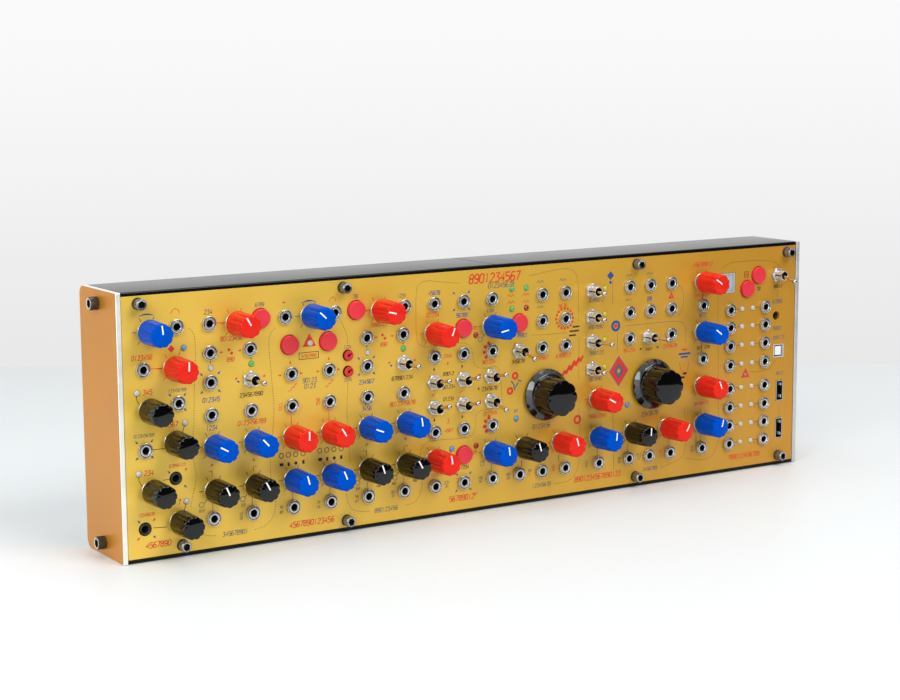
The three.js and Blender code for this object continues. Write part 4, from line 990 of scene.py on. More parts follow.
# Small arrows by colour: place and the way that they point, in degrees clockwise from up.
ARROWS = {
    "red": [
        (52, 97.5, -90), (62, 97.5, 90), (140, 97.5, -90), (149.5, 97.5, 90), (84, 83, 90), (96, 83, -90),
        (105.5, 83, 90), (117.5, 83, -90), (90, 89, 180), (112, 89, 180), (31.5, 41.5, 45), (14, 18.5, 45),
        (5.5, 10, -135), (45.5, 41.8, 40), (68.5, 41.8, -40), (133.5, 42, 40), (157, 42.5, -40),
        (75.2, 83.5, 45), (163, 83.5, 45), (87, 119.5, -90), (183.5, 80, 180),
    ],
    "blue": [
        (24, 79, 135), (32, 78.5, -135), (32, 71, -45), (41, 87.5, 135), (50.5, 87.5, -135), (41, 78.5, 45),
        (50.5, 78.5, -45), (6, 57.5, 135), (14, 57.5, -135), (6, 49.5, 45), (14, 49.5, -45),
        (22.5, 41, 135), (31, 33, -45), (6, 18.5, 135), (14, 10, -45), (129.5, 87.5, 135),
        (138.5, 87.5, -135), (129.5, 79, 45), (138.5, 79, -45), (187.5, 117, 135), (197, 117, -135),
        (187.5, 108, 45), (197, 108, -45), (189, 19.5, 135), (197.5, 19.5, -135), (188.5, 10.5, 45),
        (197.5, 10.5, -45),
    ],
    "black": [
        (175, 77.5, 0), (192.5, 77.5, 0), (203, 64.5, 0), (175, 50.5, 180), (192.5, 50.5, 180),
        (312, 76.5, -90), (324, 76.5, 90),
    ],
}

# Small waves above jacks and between lights.
WAVES = {
    "red": [(223.8, 113), (233.6, 113), (223.8, 109.4), (233.6, 109.2)],
    "grey": [(243, 119.3), (258, 119.3), (243, 105.5), (303.5, 118.6), (318, 118.8), (303, 105)],
}

# Rings by colour: middle, radius and line width.
RINGS = {
    "grey": [(39.5, 22.5, 1.3, 0.3), (62, 22.5, 1.3, 0.3), (128, 22.5, 1.3, 0.3), (150.5, 22.5, 1.3, 0.3),
             (204, 91, 1.3, 0.3), (205, 23.5, 1.3, 0.3)],
    "black": [(84, 42, 1.25, 0.35), (88, 42, 1.25, 0.35), (92.2, 41.9, 1.25, 0.35), (96.4, 41.8, 1.25, 0.35),
              (106, 42, 1.25, 0.35), (110.1, 42, 1.25, 0.35), (114.3, 41.9, 1.25, 0.35),
              (118.5, 41.8, 1.25, 0.35)],
    "blue": [(294.3, 91, 2.4, 1.5)],
    "red": [(268.2, 40.8, 2.0, 1.3), (226.5, 69.3, 1.5, 1.3), (223.2, 61.3, 1.5, 1.3)],
}
# The red middle of the blue ring: its place and radius.
RING_CENTRE = (294.3, 91, 1.3)

# Bars by colour: middle, width, height and turn in degrees clockwise.
BARS = {
    "black": [
        (84, 37.4, 2.2, 1.5, 0), (88.1, 37.2, 1.3, 1.9, 0), (92.2, 37.3, 1.6, 1.6, 45),
        (96.5, 37.4, 1.3, 1.9, 0), (106.2, 37.5, 2.2, 1.5, 0), (110.3, 37.3, 1.3, 1.9, 0),
        (114.4, 37.3, 1.6, 1.6, 45), (118.5, 37.3, 1.3, 1.9, 0), (264.6, 88.2, 4.6, 0.9, 0),
        (265.8, 90.5, 6.4, 0.9, 0), (267, 92.8, 4.6, 0.9, 0), (342.6, 57.4, 2.6, 1.2, 0),
        (344, 59.6, 2.6, 1.2, 0),
    ],
    "red": [
        (44.6, 38.6, 1.7, 0.4, 8), (69.4, 38.4, 1.7, 0.4, 8), (132.4, 38.8, 1.7, 0.4, 8),
        (157.6, 38.8, 1.7, 0.4, 8), (258.6, 67.4, 1.5, 4.4, 32), (261.6, 69.4, 1.7, 5.4, 32),
        (264.8, 71.4, 1.9, 6.0, 32), (268, 73.2, 1.7, 5.2, 32), (270.8, 74.6, 1.4, 3.8, 32),
        (56.2, 98.4, 1.4, 1.4, 45), (57.6, 96.6, 1.4, 1.4, 45), (143.8, 98.4, 1.4, 1.4, 45),
        (145.2, 96.6, 1.4, 1.4, 45), (25.4, 101.5, 2.6, 2.6, 45), (59.8, 83.6, 1.4, 0.8, -30),
        (147.6, 83.6, 1.4, 0.8, -30), (389, 113.5, 1.9, 1.1, 0), (343.6, 73.4, 3.6, 1.0, 0),
        (203.5, 72, 1.8, 1.0, 0), (203.5, 57.6, 1.8, 1.0, 0),
    ],
    "blue": [
        (290.4, 119.4, 3.4, 3.4, 45), (290.4, 115.6, 1.6, 1.6, 45), (343.6, 71, 8.4, 1.1, 0),
        (343.6, 69.2, 5.2, 0.9, 0), (227.6, 64.2, 3.4, 0.6, -50), (225, 65.4, 3.4, 0.6, 50),
        (229.4, 66.4, 2.6, 0.6, 20), (226, 62.6, 2.8, 0.6, 70), (61, 82, 1.4, 0.8, 30),
        (148.8, 82, 1.4, 0.8, 30),
    ],
}

# Nested diamonds between the tuning knobs, from the outside in: colour, width and height. Each is printed
# round the next one, so the last is the bare middle.
DIAMONDS = [
    ("blue", 13.4, 17.4), ("red", 12.4, 16.4), ("blue", 6.6, 9.0), ("grey", 5.2, 7.4), ("bare", 2.2, 3.2),
]
DIAMONDS_PLACE = (296.6, 65.4)

# Jacks with red beads at their left side, and the one with a ring of beads.
BEADED_JACKS = [("modulator_left", "gate_middle"), ("modulator_left", "gate_lower")]
BEAD_ANGLES = (-20, -58, -96, -134)
BEAD_REACH = 4.6
BEAD_RADIUS = 1.0
RINGED_JACK = ("modulator_right", "upper")
RINGED_BEADS = 16
RINGED_REACH = 5.6
RINGED_BEAD_RADIUS = 0.75
# Triangles: the middle, the size, and the radius of the ring inside, or zero for the one round a light.
WARNINGS = [(101, 98.4, 7.2, 0), (333.5, 104.8, 4.2, 0.6), (389.5, 54.8, 6.2, 1.1)]
# Boxes: middle, width and height. Crescents: middle, half width and rise.
BOXES = [(100.6, 91.6, 11.4, 3.6), (389, 113.5, 3.2, 3.2)]
SMILES = [(13, 118.2, 4.2, 1.2), (101.2, 118.3, 3.8, 1.2)]


class Ink:
    """The layers of ink: one shape for each colour."""

    def __init__(self):
        self.shapes = {colour: Shape() for colour in PRINTS}

    def patch(self, colour, *loops):
        slab(self.shapes[colour], UNMOVED, loops, INK_TOP, INK_BACK)

    def line(self, colour, points, width=LINE_WIDTH):
        """A line of this width through the points, its corners mitred and its ends square."""
        path = [Vector(point) for point in points]
        ways = [(after - here).normalized() for here, after in zip(path, path[1:])]
        lefts, rights = [], []
        for here, one, two in zip(path, ways[:1] + ways, ways + ways[-1:]):
            across = Vector((-one.y - two.y, one.x + two.x)) * width / 2
            across /= max(1 + one.dot(two), MITRE_LIMIT)
            lefts.append(here + across)
            rights.append(here - across)
        self.patch(colour, [(x, y) for x, y in rights + lefts[::-1]])

    def dots(self, colour, points):
        ahead = DOT_SPACING / 2
        for here, after in zip(points, points[1:]):
            way = Vector(after) - Vector(here)
            while ahead < way.length:
                x, y = Vector(here) + way.normalized() * ahead
                self.patch(colour, circle(DOT_RADIUS, 6, x, y))
                ahead += DOT_SPACING
            ahead -= way.length

    def ring(self, colour, x, y, radius, width):
        self.patch(colour, circle(radius + width / 2, 24, x, y), circle(radius - width / 2, 24, x, y))

    def bar(self, colour, x, y, width, height, turn):
        angle = math.radians(-turn)
        along, up = Vector((math.cos(angle), math.sin(angle))), Vector((-math.sin(angle), math.cos(angle)))
        corners = [Vector((x, y)) + along * a + up * b for a, b in rectangle(width, height)]
        self.patch(colour, [tuple(corner) for corner in corners])

    def figures(self, colour, count, height, x, y, first):
        """A row of plain figures that count up, leaning to the right."""
        step, unit = FIGURE_SPACING * height, height / 6
        for place in range(count):
            left = x + (place - count / 2) * step
            for stroke in FIGURES[(first + place) % len(FIGURES)]:
                points = [
                    (left + unit * a * FIGURE_NARROWING + FIGURE_LEAN * unit * b, y + unit * (b - 3))
                    for a, b in stroke
                ]
                self.line(colour, points, height * FIGURE_WEIGHT)


def smoothed(points):
    """The line with its corners cut, over and over."""
    for _ in range(SMOOTHING_ROUNDS):
        cut = [points[0]]
        for (a, b), (c, d) in zip(points, points[1:]):
            cut += [(0.75 * a + 0.25 * c, 0.75 * b + 0.25 * d), (0.25 * a + 0.75 * c, 0.25 * b + 0.75 * d)]
        points = cut + [points[-1]]
    return points


def around(x, y, radius, angle):
    """The point at an angle clockwise from up."""
    return (x + radius * math.sin(math.radians(angle)), y + radius * math.cos(math.radians(angle)))


def print_scales(ink):
    for name, colour, *_ in KNOB_SHARES:
        if name in BARE_KNOBS:
            continue
        x, y, _ = KNOBS[name]
        for angle in SCALE_ANGLES:
            ink.line(colour, [around(x, y, radius, angle) for radius in SCALE_RADII])


def print_lettering(ink):
    for colour, rows in LABELS.items():
        for index, (count, height, x, y) in enumerate(rows):
            ink.figures(colour, count, height, x, y, index)


def print_lines(ink):
    for points in DOTTED_BORDERS:
        ink.dots("black", smoothed(points))
    for points in PLAIN_BORDERS:
        ink.line("grey", smoothed(points), THIN_LINE)
    for colour, paths in LINES.items():
        for points in paths:
            ink.line(colour, points)


def print_control_rules(ink):
    """A short rule beside each jack of the control columns, and the row's number below it."""
    height, right, down = 1.3, 1.2, 1.5
    for number, row in enumerate(CONTROL_ROWS, 1):
        y = crossing("control_left", row).y
        for start, end in CONTROL_RULES:
            ink.line("black", [(start, y), (end, y)], THIN_LINE)
            ink.figures("red", 1, height, start + right, y - down, number)


def print_waves(ink):
    half, height = 1.1, 0.7
    for colour, waves in WAVES.items():
        for x, y in waves:
            points = [(x + way * half, y + height * (-1) ** (way + 1)) for way in (-2, -1, 0, 1, 2)]
            ink.line(colour, points, WAVE_LINE)


def print_arrows(ink):
    reach, foot, half, tail, width = 0.95, 0.1, 0.75, 1.0, 0.4
    for colour, places in ARROWS.items():
        for x, y, way in places:
            back = around(x, y, -foot, way)
            wings = [around(*back, half, way + side) for side in (90, -90)]
            ink.patch(colour, [around(x, y, reach, way), *wings])
            ink.line(colour, [back, around(x, y, -tail, way)], width)


def print_rings_and_bars(ink):
    for colour, rings in RINGS.items():
        for ring in rings:
            ink.ring(colour, *ring)
    for colour, bars in BARS.items():
        for bar in bars:
            ink.bar(colour, *bar)
    x, y, radius = RING_CENTRE
    ink.patch("red", circle(radius, 20, x, y))


def print_diamonds(ink):
    def diamond(width, height):
        x, y = DIAMONDS_PLACE
        return [(x, y - height / 2), (x + width / 2, y), (x, y + height / 2), (x - width / 2, y)]

    for (colour, *size), (_, *inner_size) in zip(DIAMONDS, DIAMONDS[1:]):
        ink.patch(colour, diamond(*size), diamond(*inner_size))


def print_beads(ink):
    for column, row in BEADED_JACKS:
        jack = crossing(column, row)
        for angle in BEAD_ANGLES:
            ink.patch("red", circle(BEAD_RADIUS, 16, *around(jack.x, jack.y, BEAD_REACH, angle)))
    jack = crossing(*RINGED_JACK)
    for bead in range(RINGED_BEADS):
        place = around(jack.x, jack.y, RINGED_REACH, 360 * bead / RINGED_BEADS)
        ink.patch("red", circle(RINGED_BEAD_RADIUS, 10, *place))


def print_warnings(ink):
    """Red triangles, each round a grey ring or round a light."""
    light_clearance, light_right, light_down = 0.25, 0.5, 0.6
    corner_share, hole_share, ring_share = 0.62, 1.25, 0.45
    for x, y, size, ring in WARNINGS:
        corners = [around(x, y, size * corner_share, angle) for angle in (0, -120, 120)]
        if ring:
            ink.patch("red", corners, circle(ring * hole_share, 20, x, y))
            ink.ring("grey", x, y, ring, ring * ring_share)
        else:
            hole = circle(LIGHT_RADIUS + light_clearance, 24, x + light_right, y - light_down)
            ink.patch("red", corners, hole)


def print_boxes_and_smiles(ink):
    border = 0.6
    for x, y, width, height in BOXES:
        inside = rectangle(width - border, height - border, 0, x, y)
        ink.patch("black", rectangle(width, height, 0, x, y), inside)
    steps, upper_lift, lower_lift, fullness = 12, 0.25, 0.2, 0.45
    shares = [2 * step / steps - 1 for step in range(steps + 1)]

    def bowed(x, y, half_width, rise, lift):
        return [(x + half_width * share, y + rise * (1 - share ** 2) + lift) for share in shares]

    for x, y, half_width, rise in SMILES:
        above = bowed(x, y, half_width, rise, upper_lift)
        below = bowed(x, y, half_width, rise * fullness, lower_lift)
        ink.patch("blue", above + below[::-1])


def make_prints():
    ink = Ink()
    print_scales(ink)
    print_lettering(ink)
    print_lines(ink)
    print_control_rules(ink)
    print_waves(ink)
    print_arrows(ink)
    print_rings_and_bars(ink)
    print_diamonds(ink)
    print_beads(ink)
    print_warnings(ink)
    print_boxes_and_smiles(ink)
    for colour, shape in ink.shapes.items():
        piece("print_" + colour, shape, [PRINTS[colour]], ["front_panel"])


def fitting(name, shape, *finishes):
    """A piece that stands for a fixed part of circuit_board."""
    piece(name, shape, finishes, ["circuit_board"])


def control(node, ending, shape, finishes, point, turn=UNMOVED, tip=UNMOVED):
    """A piece that stands for a control and rides on its own body, turned in its place or tipped over."""
    home = Matrix.Translation(PANEL @ point) @ tip @ OUT_OF_PANEL @ turn
    piece(node + ending, shape, finishes, [node], node, METRES, home)


# Jacks: knurled round nut, bush with its bore, and painted shade: a near-black sleeve in the bore and a
# near-black ring deep in the gap between nut and bush.
def make_jacks():
    nuts, bushes, painted_shades = Shape(), Shape(), Shape()
    top, nut, bush, bore = JACK_NUT_TOP, JACK_NUT_RADIUS, JACK_BUSH_RADIUS, JACK_BORE_RADIUS
    floor, back, bush_end, turn = -7.4, -8.2, -5.0, 7
    knurl, fine_knurl = 0.16, 0.05
    grip, fine_grip = knurled(24, knurl), knurled(24, fine_knurl)
    nut_section = [
        (bush, top, (0.26, -0.6), (0.28, -0.1), (0.36, 0)),
        (nut, top, (-0.4, 0), (-0.15, -0.12, fine_grip), (0, -0.45, grip)),
        (nut, 0, (0, 0.35, grip), (-0.25, 0.05)), (bush, 0, (0.08, 0.05)),
    ]
    bush_section = [
        (bore, 0, (0, 0.9)), (bore, top, (0.02, -0.25), (0.22, 0)),
        (bush, top, (-0.42, 0.1), (-0.16, 0), (-0.02, -0.22)), (bush, bush_end, (-0.02, 0)), (bore, bush_end),
    ]
    # Painted shade: a near-black sleeve just inside the bore, from its floor to near the rim.
    shade_section = [
        (0, floor), (bore, floor, (-0.12, 0)), (bore, top, (-0.12, -0.3), (0.1, -0.3)),
        (bore, back, (0.1, 0)), (0, back),
    ]
    # Painted shade: a near-black ring at the bottom of the gap between the nut and the bush.
    groove_shade_section = [(bush, top, (-0.1, -0.55), (0.4, -0.55), (0.4, -0.9), (-0.1, -0.9))]
    for index, point in enumerate(JACKS):
        turned(nuts, at(point, turn * index), nut_section, 48)
        turned(bushes, at(point), bush_section, 32)
        turned(painted_shades, at(point), shade_section, 24)
        turned(painted_shades, at(point), groove_shade_section, 24)
    fitting("jack_nuts", nuts, NUT_METAL)
    fitting("jack_bushes", bushes, NUT_METAL)
    fitting("jack_painted_shades", painted_shades, PAINTED_SHADE_AND_BLACK_PLASTIC)
    sockets = Shape()
    reach, lip = PLAIN_SOCKET_RADIUS - PLAIN_SOCKET_RIM, PLAIN_SOCKET_TOP
    behind = -PANEL_THICKNESS - FIT_GAP
    plain_section = [
        (0, floor), (bore, floor), (bore, lip, (0, -0.55), (0.35, -0.1), (0.55, 0)),
        (reach, lip, (-0.3, 0), (0, -0.3)), (reach, back), (0, back),
    ]
    bare_section = [
        (0, floor), (bore, floor), (bore, behind, (0, -0.4), (0.3, 0)), (bush, behind), (bush, back),
        (0, back),
    ]
    for point in PLAIN_SOCKETS:
        turned(sockets, at(point), plain_section, 48)
    turned(sockets, at(BARE_HOLE), bare_section, 48)
    fitting("plain_socket_rings", sockets, BLACK_RUBBER_AND_SHADE)


# Potentiometers: washer, nut and threaded bush under each knob.
def make_pot_fittings():
    washers, nuts = Shape(), Shape()
    washer, washer_top, washer_foot = 4.95, 0.45, 0.03
    nut, nut_top, nut_foot, flat, turn = 4.5, 1.9, 0.5, 3.95, 23
    bush, top, bore, bush_end = POT_BUSH_RADIUS, POT_BUSH_TOP, 2.5, -3.2
    hexagon = six_sided(flat)
    washer_section = [
        (bush, washer_top), (washer, washer_top, (-0.15, 0), (0, -0.12)), (washer, washer_foot),
        (bush, washer_foot),
    ]
    nut_section = [
        (bush, nut_top, (0.02, 0)), (nut, nut_top, (-0.4, 0, hexagon), (0, -0.2, hexagon)),
        (nut, nut_foot, (0, 0.2, hexagon), (-0.4, 0, hexagon)), (bush, nut_foot, (0.02, 0)),
    ]
    bush_section = [
        (bore, top, (0, -0.3), (0.2, 0)), (bush, top, (-0.3, 0), (0, -0.3)), (bush, bush_end),
        (bore, bush_end),
    ]
    for index, point in enumerate([*KNOBS.values(), *TUNING_KNOBS.values()]):
        turned(washers, at(point), washer_section, 48)
        turned(nuts, at(point, turn * index), nut_section, 36)
        turned(nuts, at(point), bush_section, 32)
    fitting("pot_washers", washers, NUT_METAL)
    fitting("pot_nuts", nuts, SCREW_STEEL)


# Toggles: six-sided nut, smooth bush with a keyway and an opening, both lined in near-black as painted shade,
# and the lever.
def keyed(slot_angle, slot_width, depth):
    """A round with one flat-bottomed slot along it."""
    def outline(angle, radius):
        away = abs((angle - slot_angle + TURN / 2) % TURN - TURN / 2)
        return radius - depth if away * radius < slot_width / 2 else radius
    return outline


def make_toggle_fittings():
    nuts, bushes = Shape(), Shape()
    reach, nut_top = TOGGLE_NUT_RADIUS, TOGGLE_NUT_TOP
    flat = reach * math.cos(TURN / 12)
    hexagon = six_sided(flat)
    bush, top, opening, bush_end, floor, under = 2.8, TOGGLE_BUSH_TOP, 2.25, -3.0, 1.9, 1.6
    slot, slot_width = 0.35, 1.1
    strip_out, strip_width, strip_height, strip_sink, strip_dip = 0.1, 0.3, 0.8, 0.5, 0.3
    keyway = keyed(TURN / 2, slot_width, slot)
    nut_section = [
        (bush, nut_top, (0.02, -0.2), (0.3, 0)), (flat, nut_top, (-0.1, 0, hexagon)),
        (reach, nut_top, (0, -0.35, hexagon)), (reach, 0, (0, 0.3, hexagon)),
        (flat, 0, (-0.1, 0.05, hexagon)), (bush, 0, (0.02, 0.05)),
    ]
    bush_section = [
        (opening, 0, (0, 3.0)), (opening, top, (0, -0.3), (0.16, -0.04), (0.24, 0)),
        (bush, top, (-0.26, 0), (-0.06, -0.1, keyway), (0, -0.35, keyway)),
        (bush, nut_top, (0, -0.3, keyway), (0, -0.5)), (bush, bush_end), (opening, bush_end),
    ]
    # Painted shade: a near-black sleeve inside the bush's opening.
    shade_section = [
        (0, floor), (opening, floor, (-0.02, 0)), (opening, top, (-0.02, -0.35), (0.05, -0.35)),
        (opening, under, (0.05, 0)), (0, under),
    ]
    # Painted shade: a near-black strip down the keyway.
    strip = rectangle(strip_width, strip_height, 0, strip_out + slot - bush, 0)
    for name, _, _, swing, _ in TOGGLE_SHARES:
        place = at(TOGGLES[name])
        turned(nuts, at(TOGGLES[name], 0 if swing == "across" else 30), nut_section, 48)
        turned(bushes, place, bush_section, 60)
        turned(bushes, place, shade_section, 32, 1)
        slab(bushes, place, [strip], top - strip_sink, nut_top - strip_dip, 0, (1, 1, 1))
    fitting("toggle_nuts", nuts, TOGGLE_METAL)
    fitting("toggle_bushes", bushes, TOGGLE_METAL, PAINTED_SHADE_AND_BLACK_PLASTIC)


def make_levers():
    join = LEVER_TOP - LEVER_BALL
    ball_section = [
        (0, LEVER_TOP, (0, 0), (0.5, -0.05), (0.95, -0.27), (1.25, -0.65), (1.38, -1.15), (1.32, -1.7),
         (1.15, -2.1)),
        (0, join, (0.98, 0), (0, 0)),
    ]
    rod_section = [
        (0, join, (0, 0.1), (0.97, 0.1), (0.93, -0.8)),
        (0, 0, (0.9, 4.6), (0.92, 2.6), (1.3, 1.6), (1.68, 0.7), (1.75, 0), (1.5, -0.9), (0.9, -1.5),
         (0, -1.75)),
    ]
    for name, _, _, swing, side in TOGGLE_SHARES:
        lever = Shape()
        turned(lever, UNMOVED, ball_section, 36)
        turned(lever, UNMOVED, rod_section, 36, 1)
        pivot = TOGGLES[name] + Vector((0, 0, LEVER_PIVOT))
        turn, axis = (-side, "X") if swing == "upright" else (side, "Z")
        tip = Matrix.Rotation(math.radians(turn * LEVER_THROW), 4, axis)
        control(name, "_lever", lever, [POLISHED, LEVER_ROD], pivot, tip=tip)


# Knobs.
def pointer(shape, height_at):
    """A thin raised line up the knob's face, following its crown."""
    start, end, half, steps, rise, sink = 0.7, 5.0, 0.36, 5, 0.04, 0.3
    corners = []
    for step in range(steps + 1):
        y = start + (end - start) * step / steps
        upper, lower = height_at(y) + rise, height_at(y) - sink
        corners += [(-half, y, upper), (half, y, upper), (half, y, lower), (-half, y, lower)]
    faces = [[1, 2, 3, 0], [4 * steps + corner for corner in (3, 2, 1, 0)]]
    for step in range(steps):
        for corner in range(4):
            here, after = 4 * step + corner, 4 * step + (corner + 1) % 4
            faces.append([here + 4, after + 4, after, here])
    shape.add(UNMOVED, corners, faces, 1)


def make_knobs():
    top, face, base = KNOB_HEIGHT, KNOB_FACE_RADIUS, KNOB_BASE_RADIUS
    crown, sunk, depth, bevel, shoulder = 0.8, 0.06, 0.62, 0.4, 0.5
    hollow, ceiling = 4.6, 1.4
    sides = [(0.75, 1), (0.6, 0.95), (0.5, 0.85), (0.4, 0.65), (0.3, 0.4), (0.2, 0.16), (0.1, 0.03)]

    def grooves(share):
        return lobed(KNOB_LOBES, depth * share)

    def crown_at(radius):
        return top - sunk - crown * (radius / face) ** 2

    section = [(radius, crown_at(radius)) for radius in (0, face / 3, 2 * face / 3)]
    for radius, strength in ((face - bevel - shoulder, 0.85), (face - bevel, 0.95)):
        section.append((radius, crown_at(radius), (0, 0, grooves(strength))))
    section.append((face, crown_at(face), (-0.12, -0.12, grooves(1)), (0, -0.4, grooves(1))))
    for share, strength in sides:
        section.append((face + (base - face) * (1 - share), top * share, (0, 0, grooves(strength))))
    section += [(base, 0, (0, 0.35), (-0.1, 0.08), (-0.3, 0)), (hollow, 0), (hollow, ceiling)]
    section += [(SHAFT_RADIUS, ceiling, (0.2, 0)), (SHAFT_RADIUS, SHAFT_END), (0, SHAFT_END)]
    tops = {"blue": KNOB_BLUE, "red": KNOB_RED, "black": KNOB_BLACK}
    for name, colour, _, _, angle in KNOB_SHARES:
        cap = Shape()
        turned(cap, UNMOVED, section, 12 * KNOB_LOBES)
        if name not in BARE_KNOBS:
            pointer(cap, crown_at)
        foot = KNOBS[name] + Vector((0, 0, KNOB_LIFT))
        turn = Matrix.Rotation(math.radians(-angle), 4, "Z")
        control(name, "_cap", cap, [tops[colour], POINTER_WHITE], foot, turn)


def make_tuning_knobs():
    top, face, skirt, lift = TUNING_TOP, TUNING_FACE_RADIUS, TUNING_SKIRT_RADIUS, TUNING_LIFT
    shoulder, depth, crown = TUNING_SHOULDER_RADIUS, 0.95, 0.8
    foot, ceiling, hollow, opening = 4.6, 4.2, 5.4, 5.5

    def grooves(share):
        return lobed(TUNING_LOBES, depth * share)

    full = grooves(1)
    section = [(0, top)] + [(face * share, top - crown * share ** 2) for share in (0.3, 0.6, 0.8)]
    section += [
        (face, top - crown, (-0.7, 0, grooves(0.9)), (-0.25, -0.16, full), (0, -0.55, full)),
        (face, top, (0.12, -3, full)),
        (face, 0, (0.3, 9, full), (0.4, 7, grooves(0.95)), (0.5, 5.9, grooves(0.7)),
         (0.7, 5.1, grooves(0.35)), (1.1, 4.72, grooves(0.1)), (1.6, 4.6)),
        (shoulder, foot, (-0.8, 0)), (hollow, foot), (hollow, ceiling), (SHAFT_RADIUS, ceiling),
        (SHAFT_RADIUS, SHAFT_END), (0, SHAFT_END),
    ]
    skirt_section = [
        (face, 0, (-1, 4.58)), (shoulder, 0, (-0.9, 4.58), (-0.6, 4.5), (-0.4, 4.35)),
        (skirt, 0, (-0.25, 2.3), (-0.08, 2.1), (0, 1.85)), (skirt, lift, (0, 0.25), (-0.2, 0)),
        (opening, lift), (opening, 0, (0, 4.3)), (face, 0, (-1, 4.3)),
    ]
    for name, point in TUNING_KNOBS.items():
        cap = Shape()
        turned(cap, UNMOVED, section, 16 * TUNING_LOBES)
        turned(cap, UNMOVED, skirt_section, 16 * TUNING_LOBES, 1)
        control(name, "_cap", cap, [KNOB_BLACK, KNOB_SKIRT], point)


# Push buttons and trimmers.
def make_buttons():
    radius, top, skirt, stem, end = BUTTON_RADIUS, BUTTON_TOP, -BUTTON_SKIRT, 1.6, -6.5
    section = [
        (0, top, (0, 0), (2.6, -0.01), (4.1, -0.05), (4.5, -0.1), (4.7, -0.22)),
        (radius, top, (0, -0.45)), (radius, skirt), (stem, skirt), (stem, end), (0, end),
    ]
    for name, point in BUTTONS.items():
        cap = Shape()
        turned(cap, UNMOVED, section, 64)
        control(name, "_cap", cap, [BUTTON_RED], point)
    caps = Shape()
    for point in FIXED_BUTTONS:
        turned(caps, at(point), section, 64)
    piece("fixed_button_caps", caps, [BUTTON_RED], ["circuit_board"])


def make_trimmers():
    """Red rounds, each with a round well and a slot that runs out of it, near-black under both as painted
    shade.
    """
    radius, top, floor = TRIMMER_RADIUS, TRIMMER_TOP, TRIMMER_TOP - TRIMMER_SLOT_DEPTH
    end, lean, chamfer = -6, -28, 0.18
    well, slot_width, slot_end = 0.75, 0.62, 1.95
    half = math.degrees(math.asin(slot_width / 2 / well))
    keyhole = arc(well, half, 360 - half, 20) + [(slot_end, -slot_width / 2), (slot_end, slot_width / 2)]
    rounds = Shape()
    for point in TRIMMERS:
        place = at(point, lean)
        slab(rounds, place, [circle(radius, 48), keyhole], top, floor, chamfer)
        # Painted shade: the round under the well and the slot is near-black.
        turned(rounds, place, [(0, floor), (radius, floor), (radius, end), (0, end)], 48, 1)
    piece("trimmer_rounds", rounds, [TRIMMER_RED, PAINTED_SHADE_AND_BLACK_PLASTIC], ["circuit_board"])


def make_lights():
    end = -3.5
    section = [
        (0, 0, (0, 0.95), (0.5, 0.91), (0.95, 0.76), (1.28, 0.5)),
        (LIGHT_RADIUS, 0, (-0.04, 0.15), (0, -0.2)), (LIGHT_RADIUS, end), (0, end),
    ]
    for colour, places in LIGHTS.items():
        domes = Shape()
        for x, y in places:
            turned(domes, at(Vector((x, y, 0))), section, 28)
        fitting("lights_" + colour, domes, LIGHT_FINISHES[colour])


def square(size, corner):
    return rectangle(size, size, corner)


def make_window():
    front, back, rim, chamfer = -0.25, -4.0, 1.1, 0.15
    pane_gap, pane_sink, pane_back, pane_chamfer = 0.1, 0.5, -3.8, 0.1
    corner, opening_corner, pane_corner = 0.3, 0.2, 0.15
    opening = WINDOW_SIZE - 2 * rim
    frame_loops = [square(WINDOW_SIZE, corner), square(opening, opening_corner)]
    window = Shape()
    slab(window, at(WINDOW), frame_loops, front, back, chamfer)
    slab(window, at(WINDOW), [square(opening - pane_gap, pane_corner)], front - pane_sink, pane_back,
         pane_chamfer, (1, 1, 1))
    fitting("display_window", window, WINDOW_FRAME, WINDOW_PANE)


def make_ports():
    """Metal shells, each with its tongue and contacts. Their floors, and the inner walls and tongues of the
    slot ports, are near-black: painted shade on the floors and walls, black on the tongues.
    """
    wall, front, end, chamfer = 0.5, -0.02, -7.0, 0.1
    floor, floor_chamfer, tongue_rise = 0.6, 0.05, 0.5
    ports = Shape()

    def shell(point, width, height, corners, inner_finish):
        outside = rectangle(width, height, corners[0])
        inside = rectangle(width - 2 * wall, height - 2 * wall, corners[1])
        # Painted shade: the near-black inner walls, where inner_finish asks for them, and the near-black
        # floor.
        slab(ports, at(point), [outside, inside], front, end, chamfer, (0, inner_finish, inner_finish))
        slab(ports, at(point), [inside], end + floor, end, floor_chamfer, (1, 1, 1))

    def block(point, width, height, corner, top, foot, chamfer, number):
        slab(ports, at(point), [rectangle(width, height, corner)], top, foot, chamfer, (number,) * 3)

    tongue_foot = end + tongue_rise
    square_corners, square_tongue = (0.7, 0.5), (4.6, 5.2, 0.3, -0.5, tongue_foot, 0.2, 2)
    slot_corners, slot_tongue = (0.4, 0.25), (1.6, 9.6, 0.1, -1.6, tongue_foot, 0.1, 1)
    contact = (0.5, 1.6, 0.1, -0.4, -3.0, 0.05, 0)
    tongue_left, contact_right, contact_rise = 0.75, 1.55, 3.6
    shell(SQUARE_PORT, SQUARE_PORT_SIZE, SQUARE_PORT_SIZE, square_corners, 0)
    block(SQUARE_PORT, *square_tongue)
    for point in SLOT_PORTS:
        shell(point, SLOT_PORT_WIDTH, SLOT_PORT_HEIGHT, slot_corners, 1)
        block(point - Vector((tongue_left, 0, 0)), *slot_tongue)
        for height in (-contact_rise, contact_rise):
            block(point + Vector((contact_right, height, 0)), *contact)
    fitting("port_shells", ports, PORT_METAL, PAINTED_SHADE_AND_BLACK_PLASTIC, PORT_WHITE)


